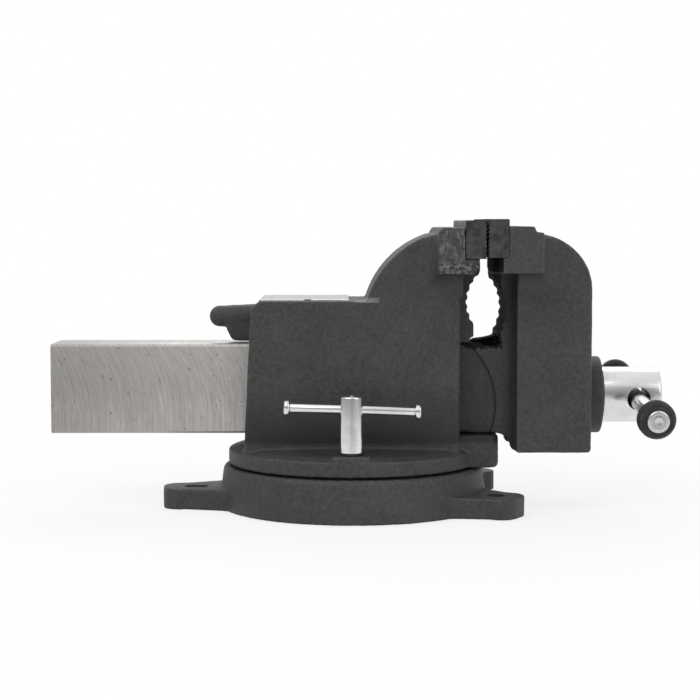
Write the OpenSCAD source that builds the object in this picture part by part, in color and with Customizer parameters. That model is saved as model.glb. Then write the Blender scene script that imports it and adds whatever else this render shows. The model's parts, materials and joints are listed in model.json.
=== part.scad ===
// Bench vise with a swivel base, an anvil with a stub horn, pipe jaws and a rectangular slide.
// Millimetres. Z is up, X is the opening direction of the moving jaw, and the origin lies on
// the swivel axis at the underside of the base.

/* [Jaws] */
// Length of the jaw inserts, across the vise
jaw_w = 152; // [140:1:170]
// Height of the jaw inserts
insert_h = 28.5; // [26:0.5:31]
// Thickness of the jaw inserts, from their backs to the tips of the serrations
insert_t = 15.6; // [14:0.1:18]
// Height of the inserts' underside above the bench
insert_z = 193.8; // [190:0.2:198]
// How far the inserts stand above the castings
insert_proud = 5.3; // [3:0.1:8]
// Distance from the swivel axis to the parting plane, where the rear insert ends
parting_x = 98.4; // [96:0.1:102]
// Gap between the inserts in the resting pose, in front of the parting plane
jaw_gap = 1; // [0.4:0.1:1.4]
// Height of the front jaw's head and insert above the rear ones
front_lift = 0.9; // [0:0.1:1.2]
// Rows of serrations over an insert's height
serrations = 9; // [6:1:12]
// Depth of the serrations
serration_d = 1.1; // [0.6:0.1:1.6]
// Depth of the jaw castings below the inserts' underside, at their ends
head_drop = 11.8; // [10:0.2:15]
// Thickness of the rear jaw casting at its ends
rear_head_t = 20.6; // [18:0.1:24]
// Thickness of the front jaw casting at its ends
front_head_t = 26; // [24:0.1:28]
// Length of the raised pad along the top of the front jaw
front_pad_l = 19.3; // [16:0.1:22]
// Depth of the step behind that raised pad
front_step = 4.4; // [2:0.1:5]
// Radius of the coves that join the jaws' ends to the castings
head_cove_r = 17; // [12:0.5:20]
// Distance of the insert screws from the middle
screw_y = 44; // [36:1:52]
// Diameter of the insert screws
screw_d = 8; // [6:0.5:9]

/* [Pipe jaws] */
// Width of the toothed pipe jaws
pipe_w = 54; // [44:1:64]
// Radius of the rear toothed arc
rear_pipe_r = 31; // [29:0.5:34]
// Height of the middle of the rear arc
rear_pipe_z = 159.8; // [158:0.2:162]
// Depth of the rear arc behind the parting plane
rear_pipe_depth = 12.4; // [10:0.2:14]
// Radius of the front toothed arc
front_pipe_r = 38; // [36:0.5:40]
// Height of the middle of the front arc
front_pipe_z = 154.3; // [153:0.1:157]
// Depth of the front arc before the parting plane
front_pipe_depth = 19; // [16:0.2:20]
// Number of teeth on each arc
pipe_teeth = 7; // [5:1:9]
// Height of the pipe teeth
pipe_tooth_h = 1.9; // [1.2:0.1:2.6]

/* [Slide bar] */
// Width of the slide bar
bar_w = 54; // [50:0.5:58]
// Height of the slide bar
bar_h = 68.4; // [66:0.2:70]
// Height of the slide bar's underside above the bench
bar_z = 59; // [58:0.2:60.4]
// Thickness of the slide bar's side walls
bar_wall = 10; // [8:0.5:11]
// Thickness of the slide bar's top wall
bar_top = 12; // [9:0.5:14]
// Chamfer along the slide bar's edges
bar_chamfer = 1.6; // [1:0.1:2.5]
// Opening of the jaws
travel = 150; // [120:1:155]
// Reach of the slide bar behind the swivel axis, with the jaws open
bar_stay = 82; // [78:1:95]

/* [Front jaw casting] */
// Distance from the parting plane to the flat sides of the front jaw
front_throat = 25.2; // [24:0.2:28]
// Length of the front jaw's flat sides
front_l = 57.4; // [54:0.2:60]
// Height of the front jaw's underside above the bench
front_z = 46.2; // [44:0.2:50]
// Radius of the front jaw's nose
nose_r = 45; // [42:0.5:48]
// Height of the crown of the front jaw's nose
front_crown_z = 212.7; // [209:0.1:213]
// Wall thickness of the hollow front jaw
front_wall = 12; // [10:0.5:14]
// Diameter of the hub that carries the spindle
hub_d = 60.2; // [54:0.2:66]
// Length of the hub
hub_l = 12; // [9:0.2:14]
// Radius of the coves that join the slide bar to the front jaw
cove_r = 14; // [12:0.5:15]
// Radius of the milling cutter that ends the slide bar's ground sides in an arc
mill_r = 62; // [56:1:70]
// How far the rough casting stands out beyond that arc
mill_step = 1.2; // [0.8:0.1:2]

/* [Rear casting] */
// Width of the rear casting between its flat sides
body_w = 98; // [92:1:104]
// Narrowing of each side from the swivel plate to the top of the jaw
side_draft = 1.5; // [0.5:0.1:3]
// Distance from the swivel axis to the front end of the flat sides
body_front = 81; // [79:0.5:83]
// Distance from the swivel axis to the rear end of the anvil
body_rear = 77.6; // [74:0.2:82]
// Slope of the rear end, as the distance it leans out at its foot
rear_lean = 5.9; // [4:0.1:10]
// Height of the anvil above the bench
anvil_z = 162.8; // [158:0.2:166]
// Length of the ground anvil pad
pad_l = 68; // [56:1:72]
// Height of the anvil pad above the casting round it
pad_h = 1.4; // [0.8:0.1:2.5]
// Radius of the back of the jaw
jaw_back_r = 76; // [73:0.5:78]
// Height of the crown of the jaw's back
crown_z = 216; // [213:0.2:216.2]
// Reach of the nose under the slide bar, in front of the swivel axis
nose_reach = 111.5; // [106:0.5:114]
// Width of the nose under the slide bar
nose_w = 80; // [70:1:88]
// Thickness of the rear casting's walls round its core
body_wall = 11; // [9:0.5:13]
// Length of the guides that hold the slide bar at each end
guide_l = 20; // [16:0.5:26]

/* [Horn] */
// Reach of the horn behind the anvil
horn_l = 34.5; // [28:0.5:42]
// Radius of the horn's tip
horn_tip_r = 8.4; // [7:0.2:9.4]
// Radius of the horn's root
horn_root_r = 9.6; // [9.4:0.2:12]
// Height of the horn's axis above the bench
horn_z = 147.8; // [145:0.2:150]

/* [Swivel plate] */
// Radius of the swivel plate
plate_r = 97.2; // [96:0.2:99]
// Thickness of the swivel plate at its rim
rim_t = 12; // [8:0.2:12.6]
// Width of the sloped edge of the plate
rim_chamfer = 11; // [8:0.5:13]
// Height of that sloped edge
rim_rise = 2.6; // [2:0.1:4]
// Thickness of the swivel plate at the body
plate_t = 16.2; // [15.4:0.2:17.4]
// Radius of the spigot that centres the plate in the base
spigot_r = 30; // [27:0.5:32]
// Length of the spigot
spigot_l = 14; // [10:0.5:16]

/* [Swivel lock] */
// Diameter of the lock bolts
lock_bolt_d = 10; // [8:0.5:10]
// Height of the pads under the lock nuts, above the plate's underside
lock_pad_t = 15.9; // [14.5:0.1:16.5]
// Width of the pads under the lock nuts
lock_pad_w = 28; // [26:0.5:34]
// Diameter of the lock nuts
lock_nut_d = 17.6; // [16:0.2:20]
// Height of the lock nuts
lock_nut_h = 43.7; // [36:0.1:46]
// Diameter of the lock bars
lock_bar_d = 6.8; // [6:0.1:7.4]
// Length of the lock bars with their knobs
lock_bar_l = 101.3; // [80:0.1:110]
// Diameter of the knobs on the lock bars
lock_knob_d = 11.8; // [10.5:0.1:14]
// Length of each knob
lock_knob_l = 4.6; // [4:0.1:9]
// Distance of the lock bolts behind the swivel axis
lock_x = 1.5; // [0:0.1:2]
// Play of the lock bars in the lock nuts
lock_bar_play = 0.4; // [0.35:0.05:0.6]

/* [Base] */
// Radius of the base at its top
base_r = 101.5; // [100:0.5:104]
// Radius of the base at its foot
foot_r = 104; // [102:0.5:107]
// Height of the base
base_h = 33.3; // [32:0.1:36]
// Thickness of the bolting lugs
lug_t = 16; // [12:0.5:17]
// Width of the bolting lugs
lug_w = 38; // [36:1:44]
// Width of the bolting lugs at their roots
lug_root_w = 70; // [60:1:74]
// Radius of the fillets that join the lugs to the base
lug_fillet = 16; // [4:1:20]
// Reach of the bolting lugs from the swivel axis
lug_reach = 142.5; // [140:0.5:152]
// Reach of the rear lug from the swivel axis
rear_lug_reach = 148; // [142:1:154]
// Distance of the bolt holes from the swivel axis
lug_hole_r = 122.5; // [120:0.5:126]
// Diameter of the bolt holes
lug_hole_d = 12; // [9:0.5:14]
// Length of the rear slot
rear_slot_l = 18; // [16:0.5:22]
// Angle of each front lug from the opening direction
lug_angle = 34; // [28:0.5:50]
// Turn of the base under the vise at rest, in degrees
base_turn = 5; // [0:0.5:10]
// Thickness of the base's wall outside the T-slot
rim_wall = 6; // [5:0.1:8]
// Width of the T-slot's mouth
slot_w = 11; // [10.6:0.1:12]
// Width of the T-slot's undercut
undercut_w = 23; // [20:0.5:23]
// Height of the T-slot's undercut
undercut_h = 10.5; // [9:0.5:11]
// Thickness of the lips over the undercut
slot_lip = 9; // [8:0.5:10]
// Radius of the boss that takes the spigot
boss_r = 42; // [38:0.5:46]

/* [Spindle] */
// Diameter of the spindle
spindle_d = 24; // [20:0.5:25]
// Height of the spindle's axis above the bench
spindle_z = 86.4; // [84:0.2:88]
// Reach of the spindle behind the swivel axis, with the jaws open
spindle_stay = 15; // [12:1:30]
// Diameter of the spindle's head
head_d = 43.2; // [40:0.2:50]
// Length of the spindle's head
head_l = 45.4; // [40:0.2:50]
// Distance of the cross hole from the back of the head
hole_x = 27.4; // [24:0.2:30]
// Diameter of the cross hole in the spindle's head
handle_hole_d = 17.6; // [16:0.1:18.4]
// Length of the spindle nut
nut_l = 44; // [36:1:50]
// Distance of the middle of the spindle nut from the swivel axis
nut_x = 8; // [6:0.5:10]
// Diameter of the bolt that holds the spindle nut
nut_bolt_d = 12; // [10:0.5:13]
// Thickness of the retaining collar
collar_t = 8; // [7:0.5:10]
// Diameter of the retaining collar
collar_d = 38; // [34:0.5:42]
// Diameter of the pin through the retaining collar
pin_d = 5; // [4:0.5:6]
// Length of the coil spring between the collar and the front wall
spring_l = 16; // [15:0.5:18]
// Wire diameter of the coil spring
spring_wire = 2.6; // [2.2:0.1:3]

/* [Handle] */
// Diameter of the handle bar
handle_d = 13.2; // [12:0.1:14]
// Length of the handle with its end caps
handle_l = 208; // [180:2:240]
// Outer diameter of the rubber rings
ring_d = 28.3; // [24:0.1:34]
// Width of the rubber rings
ring_w = 11; // [8:0.5:14]
// Diameter of the end caps
cap_d = 16.6; // [15.6:0.1:20]
// Length of the end caps
cap_l = 5; // [4:0.5:7]
// Turn of the spindle at rest, which lowers the near end of the handle, in degrees
handle_tilt = 4.7; // [0:0.1:12]
// Turn of the handle in its loose hole, towards the front at the near end, in degrees
handle_yaw = 0.5; // [0:0.1:1]

/* [Clearances] */
// Gap between castings that slide or turn on each other
gap = 0.3; // [0.3:0.05:0.5]
// Radial clearance of running and screwed fits
fit = 0.06; // [0.03:0.01:0.1]

/* [Hidden] */
$fn = 64;
eps = 0.5;                 // overlap of pieces that are one casting, and overshoot of cuts
blend_fn = 32;             // fineness of rounded outlines
cast_grey = [0.24, 0.24, 0.25];
plated = [0.78, 0.79, 0.80];
hardened = [0.42, 0.42, 0.43];
raw_iron = [0.36, 0.35, 0.34];
rubber = [0.08, 0.08, 0.08];

insert_top_z = insert_z + insert_h;
head_top_z = insert_top_z - insert_proud;
head_bottom_z = insert_z - head_drop;
rear_insert_x = parting_x - insert_t;       // back of the rear insert
front_insert_x = parting_x + jaw_gap + insert_t;    // back of the front insert
front_insert_z = insert_z + front_lift;     // underside of the front insert
front_shelf_z = head_top_z + front_lift - front_step;
rear_ledge = 11;                            // shelf that carries the rear insert
front_ledge = 4.6;                          // shelf that carries the front insert
cove_y = body_w / 2 - side_draft + head_cove_r;     // middle line of the heads' coves
screw_z = insert_z + insert_h / 2;
screw_head_d = screw_d * 2;
screw_head_h = screw_d / 2;
screw_sink = 3;                             // depth of the screw heads below the face
screw_bite = 14;                            // length of thread in the castings

bar_rear = travel + bar_stay;               // reach of the slide bar with the jaws closed
spindle_rear = travel + spindle_stay;
bar_top_z = bar_z + bar_h;
channel_w = bar_w - 2 * bar_wall;
channel_top_z = bar_top_z - bar_top;
front_x0 = parting_x + front_throat;        // start of the front jaw's flat sides
front_x1 = front_x0 + front_l;              // end of the front jaw's flat sides
hub_x = front_x1 + hub_l;                   // face of the hub
nose_z = front_crown_z - nose_r;            // centre of the nose's arc
front_core_x1 = front_x1 - front_wall;      // inside of the front wall
front_neck_x = parting_x - 9;               // rear end of the rough neck round the slide bar
relief_x0 = parting_x + 2;                  // relief in the slide bar under the front pipe jaw
relief_x1 = parting_x + 15;
relief_d = 2.2;
mill_x = parting_x + 10.8 - mill_r;         // centre of the arc that ends the milled sides
front_core_top = front_pipe_z - 4;

plate_z = base_h + gap;                     // underside of the swivel plate
rim_z = plate_z + rim_t;
floor_z = plate_z + plate_t;                // floor inside the rear casting
pad_z = plate_z + lock_pad_t;
neck_corner_r = 8;                          // rounding of the rear casting's front corners
rear_corner_r = 5;
core_top = anvil_z - 21;                    // ceiling of the core in the rear casting
pipe_bottom_z = bar_top_z + 5.4;            // underside of the pipe jaws
horn_web_z = bar_top_z + 1.4;               // underside of the horn's web

undercut_z = base_h - slot_lip - undercut_h;
lock_r = base_r - rim_wall - undercut_w / 2;        // circle of the lock bolts
bolt_head_t = undercut_h - 3;
bolt_head_w = undercut_w - 3;
lock_nut_z = pad_z + fit;
lock_bar_z = lock_nut_z + lock_nut_h - 10;
lock_bolt_top = lock_bar_z - lock_bar_d;
lock_bar_tilt = 1.7;                        // droop of the lock bars in their loose holes
lock_bar_shift = 0.8;                       // distance that the lock bars lie off centre

head_x = hub_x + gap;      // back of the spindle's head
handle_x = head_x + hole_x;
handle_play = (handle_hole_d - handle_d) / 2 - gap;
handle_drop = sqrt(pow(handle_play, 2) - pow(head_d / 2 * tan(handle_yaw), 2));
nut_w = channel_w - 2 * 1.5;
nut_top = spindle_z + spindle_d / 2 + 7;
nut_bolt_head_t = nut_bolt_d * 0.62;
nut_bolt_washer_t = 2;
nut_bolt_pocket_z = plate_z + 1;            // ceiling of the pocket for the bolt's head
spring_x1 = front_core_x1 - gap;
spring_x0 = spring_x1 - spring_l;
spring_turns = 3;
collar_x = spring_x0 - collar_t;

// ---------- helpers ----------

// Points of an arc about [cx, cy] from angle a0 to a1
function arc(cx, cy, r, a0, a1, n = 16) =
    [for (i = [0:n]) let (a = a0 + (a1 - a0) * i / n) [cx + r * cos(a), cy + r * sin(a)]];

// Points of a toothed arc: the roots lie on the radius and the tips stand inside it
function toothed_arc(cx, cy, r, h, a0, a1, n) =
    [for (i = [0:2 * n])
        let (a = a0 + (a1 - a0) * i / (2 * n), q = r - (i % 2 == 1 ? h : 0))
        [cx + q * cos(a), cy + q * sin(a)]];

// Extrudes a side view, drawn in X and Z, to a width centred on Y = 0
module side_view(w) {
    rotate([90, 0, 0]) linear_extrude(w, center = true) children();
}

// Extrudes a cross-section, drawn in Y and Z, from x0 to x1
module cross_section(x0, x1) {
    translate([x0, 0, 0]) rotate([90, 0, 90]) linear_extrude(x1 - x0) children();
}

// A cylinder along X from x0 to x1
module rod_x(x0, x1, d) {
    translate([x0, 0, 0]) rotate([0, 90, 0]) cylinder(h = x1 - x0, d = d);
}

// Rounds the convex corners of an outline
module soften(r) {
    offset(r, $fn = blend_fn) offset(-r) children();
}

module ring(d_out, d_in, h) {
    difference() {
        cylinder(h = h, d = d_out);
        translate([0, 0, -eps]) cylinder(h = h + 2 * eps, d = d_in);
    }
}

// A copy on each side of the middle plane
module both_sides() {
    children();
    mirror([0, 1, 0]) children();
}

// ---------- base ----------

module lug_outline(angle, reach) {
    tip = lug_w / 2;
    root = lug_root_w / 2;
    neck_x = reach - lug_w / 2;
    rotate(angle) soften(13) polygon([
        [0, -root], [base_r - root / 2, -root], [neck_x, -tip], [reach, -tip],
        [reach, tip], [neck_x, tip], [base_r - root / 2, root], [0, root]
    ]);
}

module annulus(r, w, z0, z1) {
    translate([0, 0, z0]) ring(2 * r + w, 2 * r - w, z1 - z0);
}

module base_disc() {
    shoulder = 5;
    rotate_extrude($fn = 128) polygon(concat(
        [[0, 0], [foot_r, 0], [foot_r, lug_t * 0.6]],
        arc(base_r - shoulder, base_h - shoulder, shoulder, 0, 90, 6),
        [[0, base_h]]));
}

module swivel_base() {
    rib_t = 8;
    core_r = lock_r - undercut_w / 2 - 5;
    color(cast_grey) rotate(base_turn) difference() {
        union() {
            base_disc();
            linear_extrude(lug_t) offset(-lug_fillet) offset(lug_fillet) {
                circle((base_r + foot_r) / 2, $fn = 128);
                for (a = [-lug_angle, lug_angle]) lug_outline(a, lug_reach);
                lug_outline(180, rear_lug_reach);
            }
        }
        // centre bore for the spigot, closed below
        translate([0, 0, base_h - spigot_l - 2])
            cylinder(h = spigot_l + 2 + eps, r = spigot_r + fit);
        // annular T-slot for the lock bolts
        annulus(lock_r, slot_w, undercut_z + 1, base_h + eps);
        annulus(lock_r, undercut_w, undercut_z, base_h - slot_lip);
        // pocket where the bolt heads drop in
        rotate(60) translate([lock_r, 0, undercut_z + 1])
            cylinder(h = base_h, d = undercut_w - 0.4);
        // core from below, with ribs left between the boss and the rim
        difference() {
            translate([0, 0, -eps]) ring(2 * core_r, 2 * boss_r, base_h - slot_lip + eps);
            for (a = [0:60:300]) rotate(a)
                translate([0, -rib_t / 2, -2 * eps]) cube([core_r + eps, rib_t, base_h]);
        }
        for (a = [-lug_angle, lug_angle]) rotate(a)
            translate([lug_hole_r, 0, -eps]) cylinder(h = lug_t + 2 * eps, d = lug_hole_d);
        rear_slot();
    }
}

module rear_slot() {
    half = (rear_slot_l - lug_hole_d) / 2;
    translate([-lug_hole_r, 0, -eps]) linear_extrude(lug_t + 2 * eps) {
        for (s = [-1, 1]) translate([s * half, 0]) circle(d = lug_hole_d);
        square([2 * half, lug_hole_d], center = true);
    }
}

// ---------- jaw heads, shared by both castings ----------

// Outline from above of a head whose back lies t behind x = 0, with coves towards the middle
module head_plan(t) {
    r = head_cove_r;
    polygon(concat(
        [[0, -jaw_w / 2], [0, jaw_w / 2], [-t + 1, jaw_w / 2], [-t, jaw_w / 2 - 1]],
        arc(-t - r, cove_y, r, 0, -90, 6),
        [[-t - r, cove_y - r - 4], [-t - r, -cove_y + r + 4]],
        arc(-t - r, -cove_y, r, 90, 0, 6),
        [[-t, -jaw_w / 2 + 1], [-t + 1, -jaw_w / 2]]));
}

// Cross-section of a head, with coves that run down to the flat sides
module head_section() {
    r = head_cove_r;
    polygon(concat(
        [[-jaw_w / 2, head_bottom_z], [-jaw_w / 2, head_top_z],
         [jaw_w / 2, head_top_z], [jaw_w / 2, head_bottom_z]],
        arc(cove_y, head_bottom_z - r, r, 90, 180, 6),
        [[cove_y - r - 4, head_bottom_z - r], [-cove_y + r + 4, head_bottom_z - r]],
        arc(-cove_y, head_bottom_z - r, r, 0, 90, 6)));
}

// A head whose front face is at x = 0 and whose back points to -X, from its side view
module jaw_head(t) {
    intersection() {
        side_view(jaw_w + 2) children();
        linear_extrude(head_top_z + 1) head_plan(t);
        cross_section(-t - head_cove_r - 1, 1) head_section();
    }
}

module rear_head() {
    t = rear_head_t;
    foot = head_bottom_z - head_cove_r;
    translate([rear_insert_x, 0, 0]) jaw_head(t) polygon([
        [0, foot], [0, head_top_z], [-t + 3, head_top_z], [-t, head_top_z - 4.6],
        [-t - head_cove_r, head_top_z - 11], [-t - head_cove_r, foot]
    ]);
}

// Front head: a raised pad behind the insert, then a shelf; open below up to the flat sides
module front_head() {
    t = front_head_t;
    bevel = 1.2;
    foot = head_bottom_z - head_cove_r;
    open = front_x0 - front_insert_x;
    shelf = head_top_z - front_step;
    translate([front_insert_x, 0, front_lift]) mirror([1, 0, 0]) jaw_head(t) polygon([
        [0, head_bottom_z], [0, head_top_z], [-front_pad_l + bevel, head_top_z],
        [-front_pad_l, head_top_z - bevel], [-front_pad_l, shelf], [-t + 1, shelf],
        [-t, shelf - 1], [-t - head_cove_r, shelf - 7.5], [-t - head_cove_r, foot],
        [-open, foot], [-open, head_bottom_z]
    ]);
}

module insert_screw_holes(x, direction, lift) {
    both_sides() translate([x - direction * eps, screw_y, screw_z + lift])
        rotate([0, direction * 90, 0])
            cylinder(h = screw_bite + 2 + eps, d = screw_d + 2 * fit);
}

// ---------- rear casting ----------

module swivel_plate() {
    rotate_extrude($fn = 128) polygon(concat(
        [[0, plate_z - spigot_l], [spigot_r - 1.5, plate_z - spigot_l],
         [spigot_r, plate_z - spigot_l + 1.5], [spigot_r, plate_z],
         [plate_r - 1.2, plate_z], [plate_r, plate_z + 1.2]],
        arc(plate_r - 1, rim_z - 1, 1, 0, 60, 3),
        [[plate_r - rim_chamfer, rim_z + rim_rise], [body_w / 2, floor_z], [0, floor_z]]));
}

module lock_pad() {
    linear_extrude(pad_z) intersection() {
        circle(plate_r - 0.6);
        soften(6) translate([-lock_x - lock_pad_w / 2, -plate_r - 8])
            square([lock_pad_w, plate_r + 8 - body_w / 2 + 6]);
    }
}

// Side view of the rear casting, up to the head of the jaw
module body_side() {
    anvil_top = anvil_z - pad_h;
    arc_z = crown_z - jaw_back_r;
    start = 180 - asin((anvil_top - arc_z) / jaw_back_r);
    end = 90 + asin((rear_head_t + 4) / jaw_back_r);
    polygon(concat(
        [[-body_rear - rear_lean, plate_z + 4], [-body_rear, anvil_top - 5.5],
         [-body_rear + 7, anvil_top]],
        arc(rear_insert_x, arc_z, jaw_back_r, start, end, 18),
        [[rear_insert_x, crown_z], [rear_insert_x, head_bottom_z],
         [body_front, head_bottom_z], [body_front, plate_z + 4]]));
}

// Outline from above of the rear casting's flat-sided block
module body_plan() {
    x0 = -body_rear - rear_lean;
    x1 = rear_insert_x + eps;
    half = body_w / 2;
    polygon(concat(
        arc(x1 - neck_corner_r, half - neck_corner_r, neck_corner_r, 0, 90, 8),
        arc(x0 + rear_corner_r, half - rear_corner_r, rear_corner_r, 90, 180, 6),
        arc(x0 + rear_corner_r, -half + rear_corner_r, rear_corner_r, 180, 270, 6),
        arc(x1 - neck_corner_r, -half + neck_corner_r, neck_corner_r, 270, 360, 8)));
}

module body_block() {
    intersection() {
        side_view(body_w) body_side();
        linear_extrude(crown_z + 1) body_plan();
        cross_section(-body_rear - rear_lean - 1, rear_insert_x + 1) polygon([
            [-body_w / 2, plate_z], [body_w / 2, plate_z],
            [body_w / 2 - side_draft, crown_z + 1], [-body_w / 2 + side_draft, crown_z + 1]
        ]);
    }
}

// Ground pad of the anvil
module anvil_pad() {
    w = body_w - 2 * side_draft - 8;
    translate([-body_rear + 6, -w / 2, anvil_z - pad_h - eps])
        linear_extrude(pad_h + eps) soften(2) square([pad_l, w]);
}

// Stub horn with the web that carries it
module horn() {
    root = 6;
    length = horn_l + root;
    translate([-body_rear + root, 0, horn_z]) rotate([0, -90, 0])
        rotate_extrude() polygon(concat(
            [[0, 0], [horn_root_r, 0], [horn_root_r, root]],
            arc(0, length - horn_tip_r, horn_tip_r, 8, 90, 10)));
    side_view(2 * horn_tip_r) soften(3) polygon([
        [-body_rear + root, horn_z + 6], [-body_rear - horn_l * 0.62, horn_z],
        [-body_rear - horn_l * 0.6, horn_z - 10], [-body_rear - horn_l * 0.48, horn_web_z + 1],
        [-body_rear - horn_l * 0.36, horn_web_z], [-body_rear + root, horn_web_z]
    ]);
}

// Nose of the casting under the slide bar
module body_nose() {
    intersection() {
        linear_extrude(bar_z - gap) soften(9) translate([body_front - 30, -nose_w / 2])
            square([nose_reach - body_front + 30, nose_w]);
        side_view(nose_w + 2) difference() {
            soften(4) translate([body_front - 60, plate_z])
                square([nose_reach - body_front + 60, 2 * plate_t]);
            // bevel that clears the foot of the front jaw
            translate([nose_reach, bar_z - gap]) rotate(45) square(2, center = true);
        }
    }
}

// Toothed pipe jaw of the rear casting, with the shelf for the insert
module rear_pipe_jaw() {
    cx = parting_x - rear_pipe_depth + rear_pipe_r;
    top_x = parting_x - 1;
    start = 180 - acos((cx - top_x) / rear_pipe_r);
    end = 218;
    side_view(pipe_w) polygon(concat(
        [[body_front - 6, insert_z], [top_x, insert_z]],
        toothed_arc(cx, rear_pipe_z, rear_pipe_r, pipe_tooth_h, start, end, pipe_teeth),
        [[cx + rear_pipe_r * cos(end), pipe_bottom_z], [body_front - 6, pipe_bottom_z]]));
}

module rear_ledge_shelf() {
    side_view(jaw_w) polygon([
        [rear_insert_x - eps, head_bottom_z], [rear_insert_x - eps, insert_z],
        [rear_insert_x + rear_ledge, insert_z], [rear_insert_x + rear_ledge, head_bottom_z + 5],
        [rear_insert_x + rear_ledge - 4, head_bottom_z]
    ]);
}

module slide_tunnel() {
    translate([-body_rear - rear_lean - 20, -bar_w / 2 - gap, bar_z - gap])
        cube([nose_reach + body_rear + rear_lean + 40, bar_w + 2 * gap, bar_h + 2 * gap]);
}

// Core that lightens the rear casting between its two slide guides
module body_core() {
    x0 = -body_rear + guide_l - 4;
    x1 = body_front - guide_l;
    w = body_w - 2 * body_wall;
    translate([x0, 0, 0]) cross_section(0, x1 - x0)
        soften(8) translate([-w / 2, floor_z]) square([w, core_top - floor_z]);
}

module nut_bolt_pocket() {
    translate([nut_x, 0, plate_z - spigot_l - eps]) {
        cylinder(h = nut_bolt_pocket_z - plate_z + spigot_l + eps, d = nut_bolt_d * 2.3);
        cylinder(h = spigot_l + plate_t + 2 * eps, d = nut_bolt_d + 1);
    }
}

module stationary_body() {
    color(cast_grey) difference() {
        union() {
            difference() {
                union() {
                    swivel_plate();
                    body_block();
                    body_nose();
                }
                body_core();
            }
            both_sides() intersection() {
                lock_pad();
                translate([0, 0, plate_z + 2]) cylinder(h = plate_t, r = plate_r);
            }
            anvil_pad();
            horn();
            rear_head();
            rear_ledge_shelf();
            rear_pipe_jaw();
        }
        slide_tunnel();
        nut_bolt_pocket();
        both_sides() translate([-lock_x, lock_r, 0])
            cylinder(h = pad_z + eps, d = lock_bolt_d + 2 * gap);
        // spot-faces under the lock nuts
        both_sides() translate([-lock_x, lock_r, pad_z]) cylinder(h = 4, d = lock_nut_d + 2);
        insert_screw_holes(rear_insert_x, -1, 0);
    }
}

// ---------- jaw inserts ----------

// Serrated insert in its own frame: its back at x = 0, its tips at x = t
module jaw_insert(t) {
    pitch = insert_h / serrations;
    color(hardened) difference() {
        side_view(jaw_w) polygon(concat(
            [[0, insert_top_z - 1], [0, insert_z]],
            [for (i = [0:2 * serrations])
                [t - (i % 2 == 0 ? serration_d : 0), insert_z + i * pitch / 2]],
            [[1, insert_top_z]]));
        both_sides() translate([0, screw_y, screw_z]) rotate([0, 90, 0]) {
            translate([0, 0, -eps]) cylinder(h = t, d = screw_d + 0.6);
            translate([0, 0, t - screw_sink - screw_head_h])
                cylinder(h = screw_head_h, d1 = screw_d + 0.6, d2 = screw_head_d + 0.6);
            translate([0, 0, t - screw_sink]) cylinder(h = t, d = screw_head_d + 0.6);
        }
    }
}

// Countersunk screws of an insert, in the insert's own frame
module insert_screws(t) {
    socket = screw_d * 0.62;
    color(hardened) both_sides() translate([t - screw_sink, screw_y, screw_z])
        rotate([0, -90, 0]) difference() {
            union() {
                cylinder(h = screw_head_h, d1 = screw_head_d, d2 = screw_d);
                cylinder(h = t - screw_sink + screw_bite, d = screw_d);
            }
            translate([0, 0, -eps]) cylinder(h = screw_d * 0.55, d = socket, $fn = 6);
        }
}

module at_rear_insert() {
    translate([rear_insert_x, 0, 0]) children();
}

module at_front_insert() {
    translate([front_insert_x, 0, front_lift]) mirror([1, 0, 0]) children();
}

module rear_jaw_insert() {
    at_rear_insert() jaw_insert(insert_t);
}

module front_jaw_insert() {
    at_front_insert() jaw_insert(insert_t);
}

module rear_insert_screws() {
    at_rear_insert() insert_screws(insert_t);
}

module front_insert_screws() {
    at_front_insert() insert_screws(insert_t);
}

// ---------- spindle nut and its bolt ----------

module spindle_nut() {
    color(raw_iron) difference() {
        translate([nut_x, 0, 0]) cross_section(-nut_l / 2, nut_l / 2)
            soften(5) translate([-nut_w / 2, floor_z]) square([nut_w, nut_top - floor_z]);
        translate([0, 0, spindle_z])
            rod_x(nut_x - nut_l, nut_x + nut_l, spindle_d + 2 * fit);
        translate([nut_x, 0, floor_z - eps])
            cylinder(h = spindle_z - floor_z, d = nut_bolt_d + 2 * fit);
    }
}

module nut_bolt() {
    washer_bottom = nut_bolt_pocket_z - nut_bolt_washer_t;
    color(plated) translate([nut_x, 0, washer_bottom - nut_bolt_head_t]) {
        cylinder(h = nut_bolt_head_t, d = nut_bolt_d * 1.7, $fn = 6);
        cylinder(h = nut_bolt_head_t + nut_bolt_washer_t + floor_z - nut_bolt_pocket_z
                     + (spindle_z - spindle_d / 2 - floor_z) * 0.8, d = nut_bolt_d);
    }
}

module nut_bolt_washer() {
    color(plated) translate([nut_x, 0, nut_bolt_pocket_z - nut_bolt_washer_t])
        ring(nut_bolt_d * 2, nut_bolt_d + 2 * fit, nut_bolt_washer_t);
}

// ---------- swivel lock ----------

module lock_bolt() {
    head_z = base_h - slot_lip - gap - bolt_head_t;
    translate([-lock_x, -lock_r, head_z]) {
        translate([-bolt_head_w / 2, -bolt_head_w / 2, 0])
            cube([bolt_head_w, bolt_head_w, bolt_head_t]);
        cylinder(h = lock_bolt_top - head_z, d = lock_bolt_d);
    }
}

module lock_bolts() {
    color(hardened) both_sides() lock_bolt();
}

module lock_nut() {
    chamfer = 1.6;
    r = lock_nut_d / 2;
    color(plated) translate([-lock_x, -lock_r, lock_nut_z]) difference() {
        rotate_extrude() polygon([
            [0, 0], [r - chamfer, 0], [r, chamfer * 1.4],
            [r, lock_nut_h - chamfer], [r - chamfer, lock_nut_h], [0, lock_nut_h]
        ]);
        translate([0, 0, -eps])
            cylinder(h = lock_bolt_top - lock_nut_z + 2, d = lock_bolt_d + 2 * fit);
        lock_bar_frame() rod_x(-lock_nut_d, lock_nut_d, lock_bar_d + 2 * lock_bar_play);
    }
}

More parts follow.
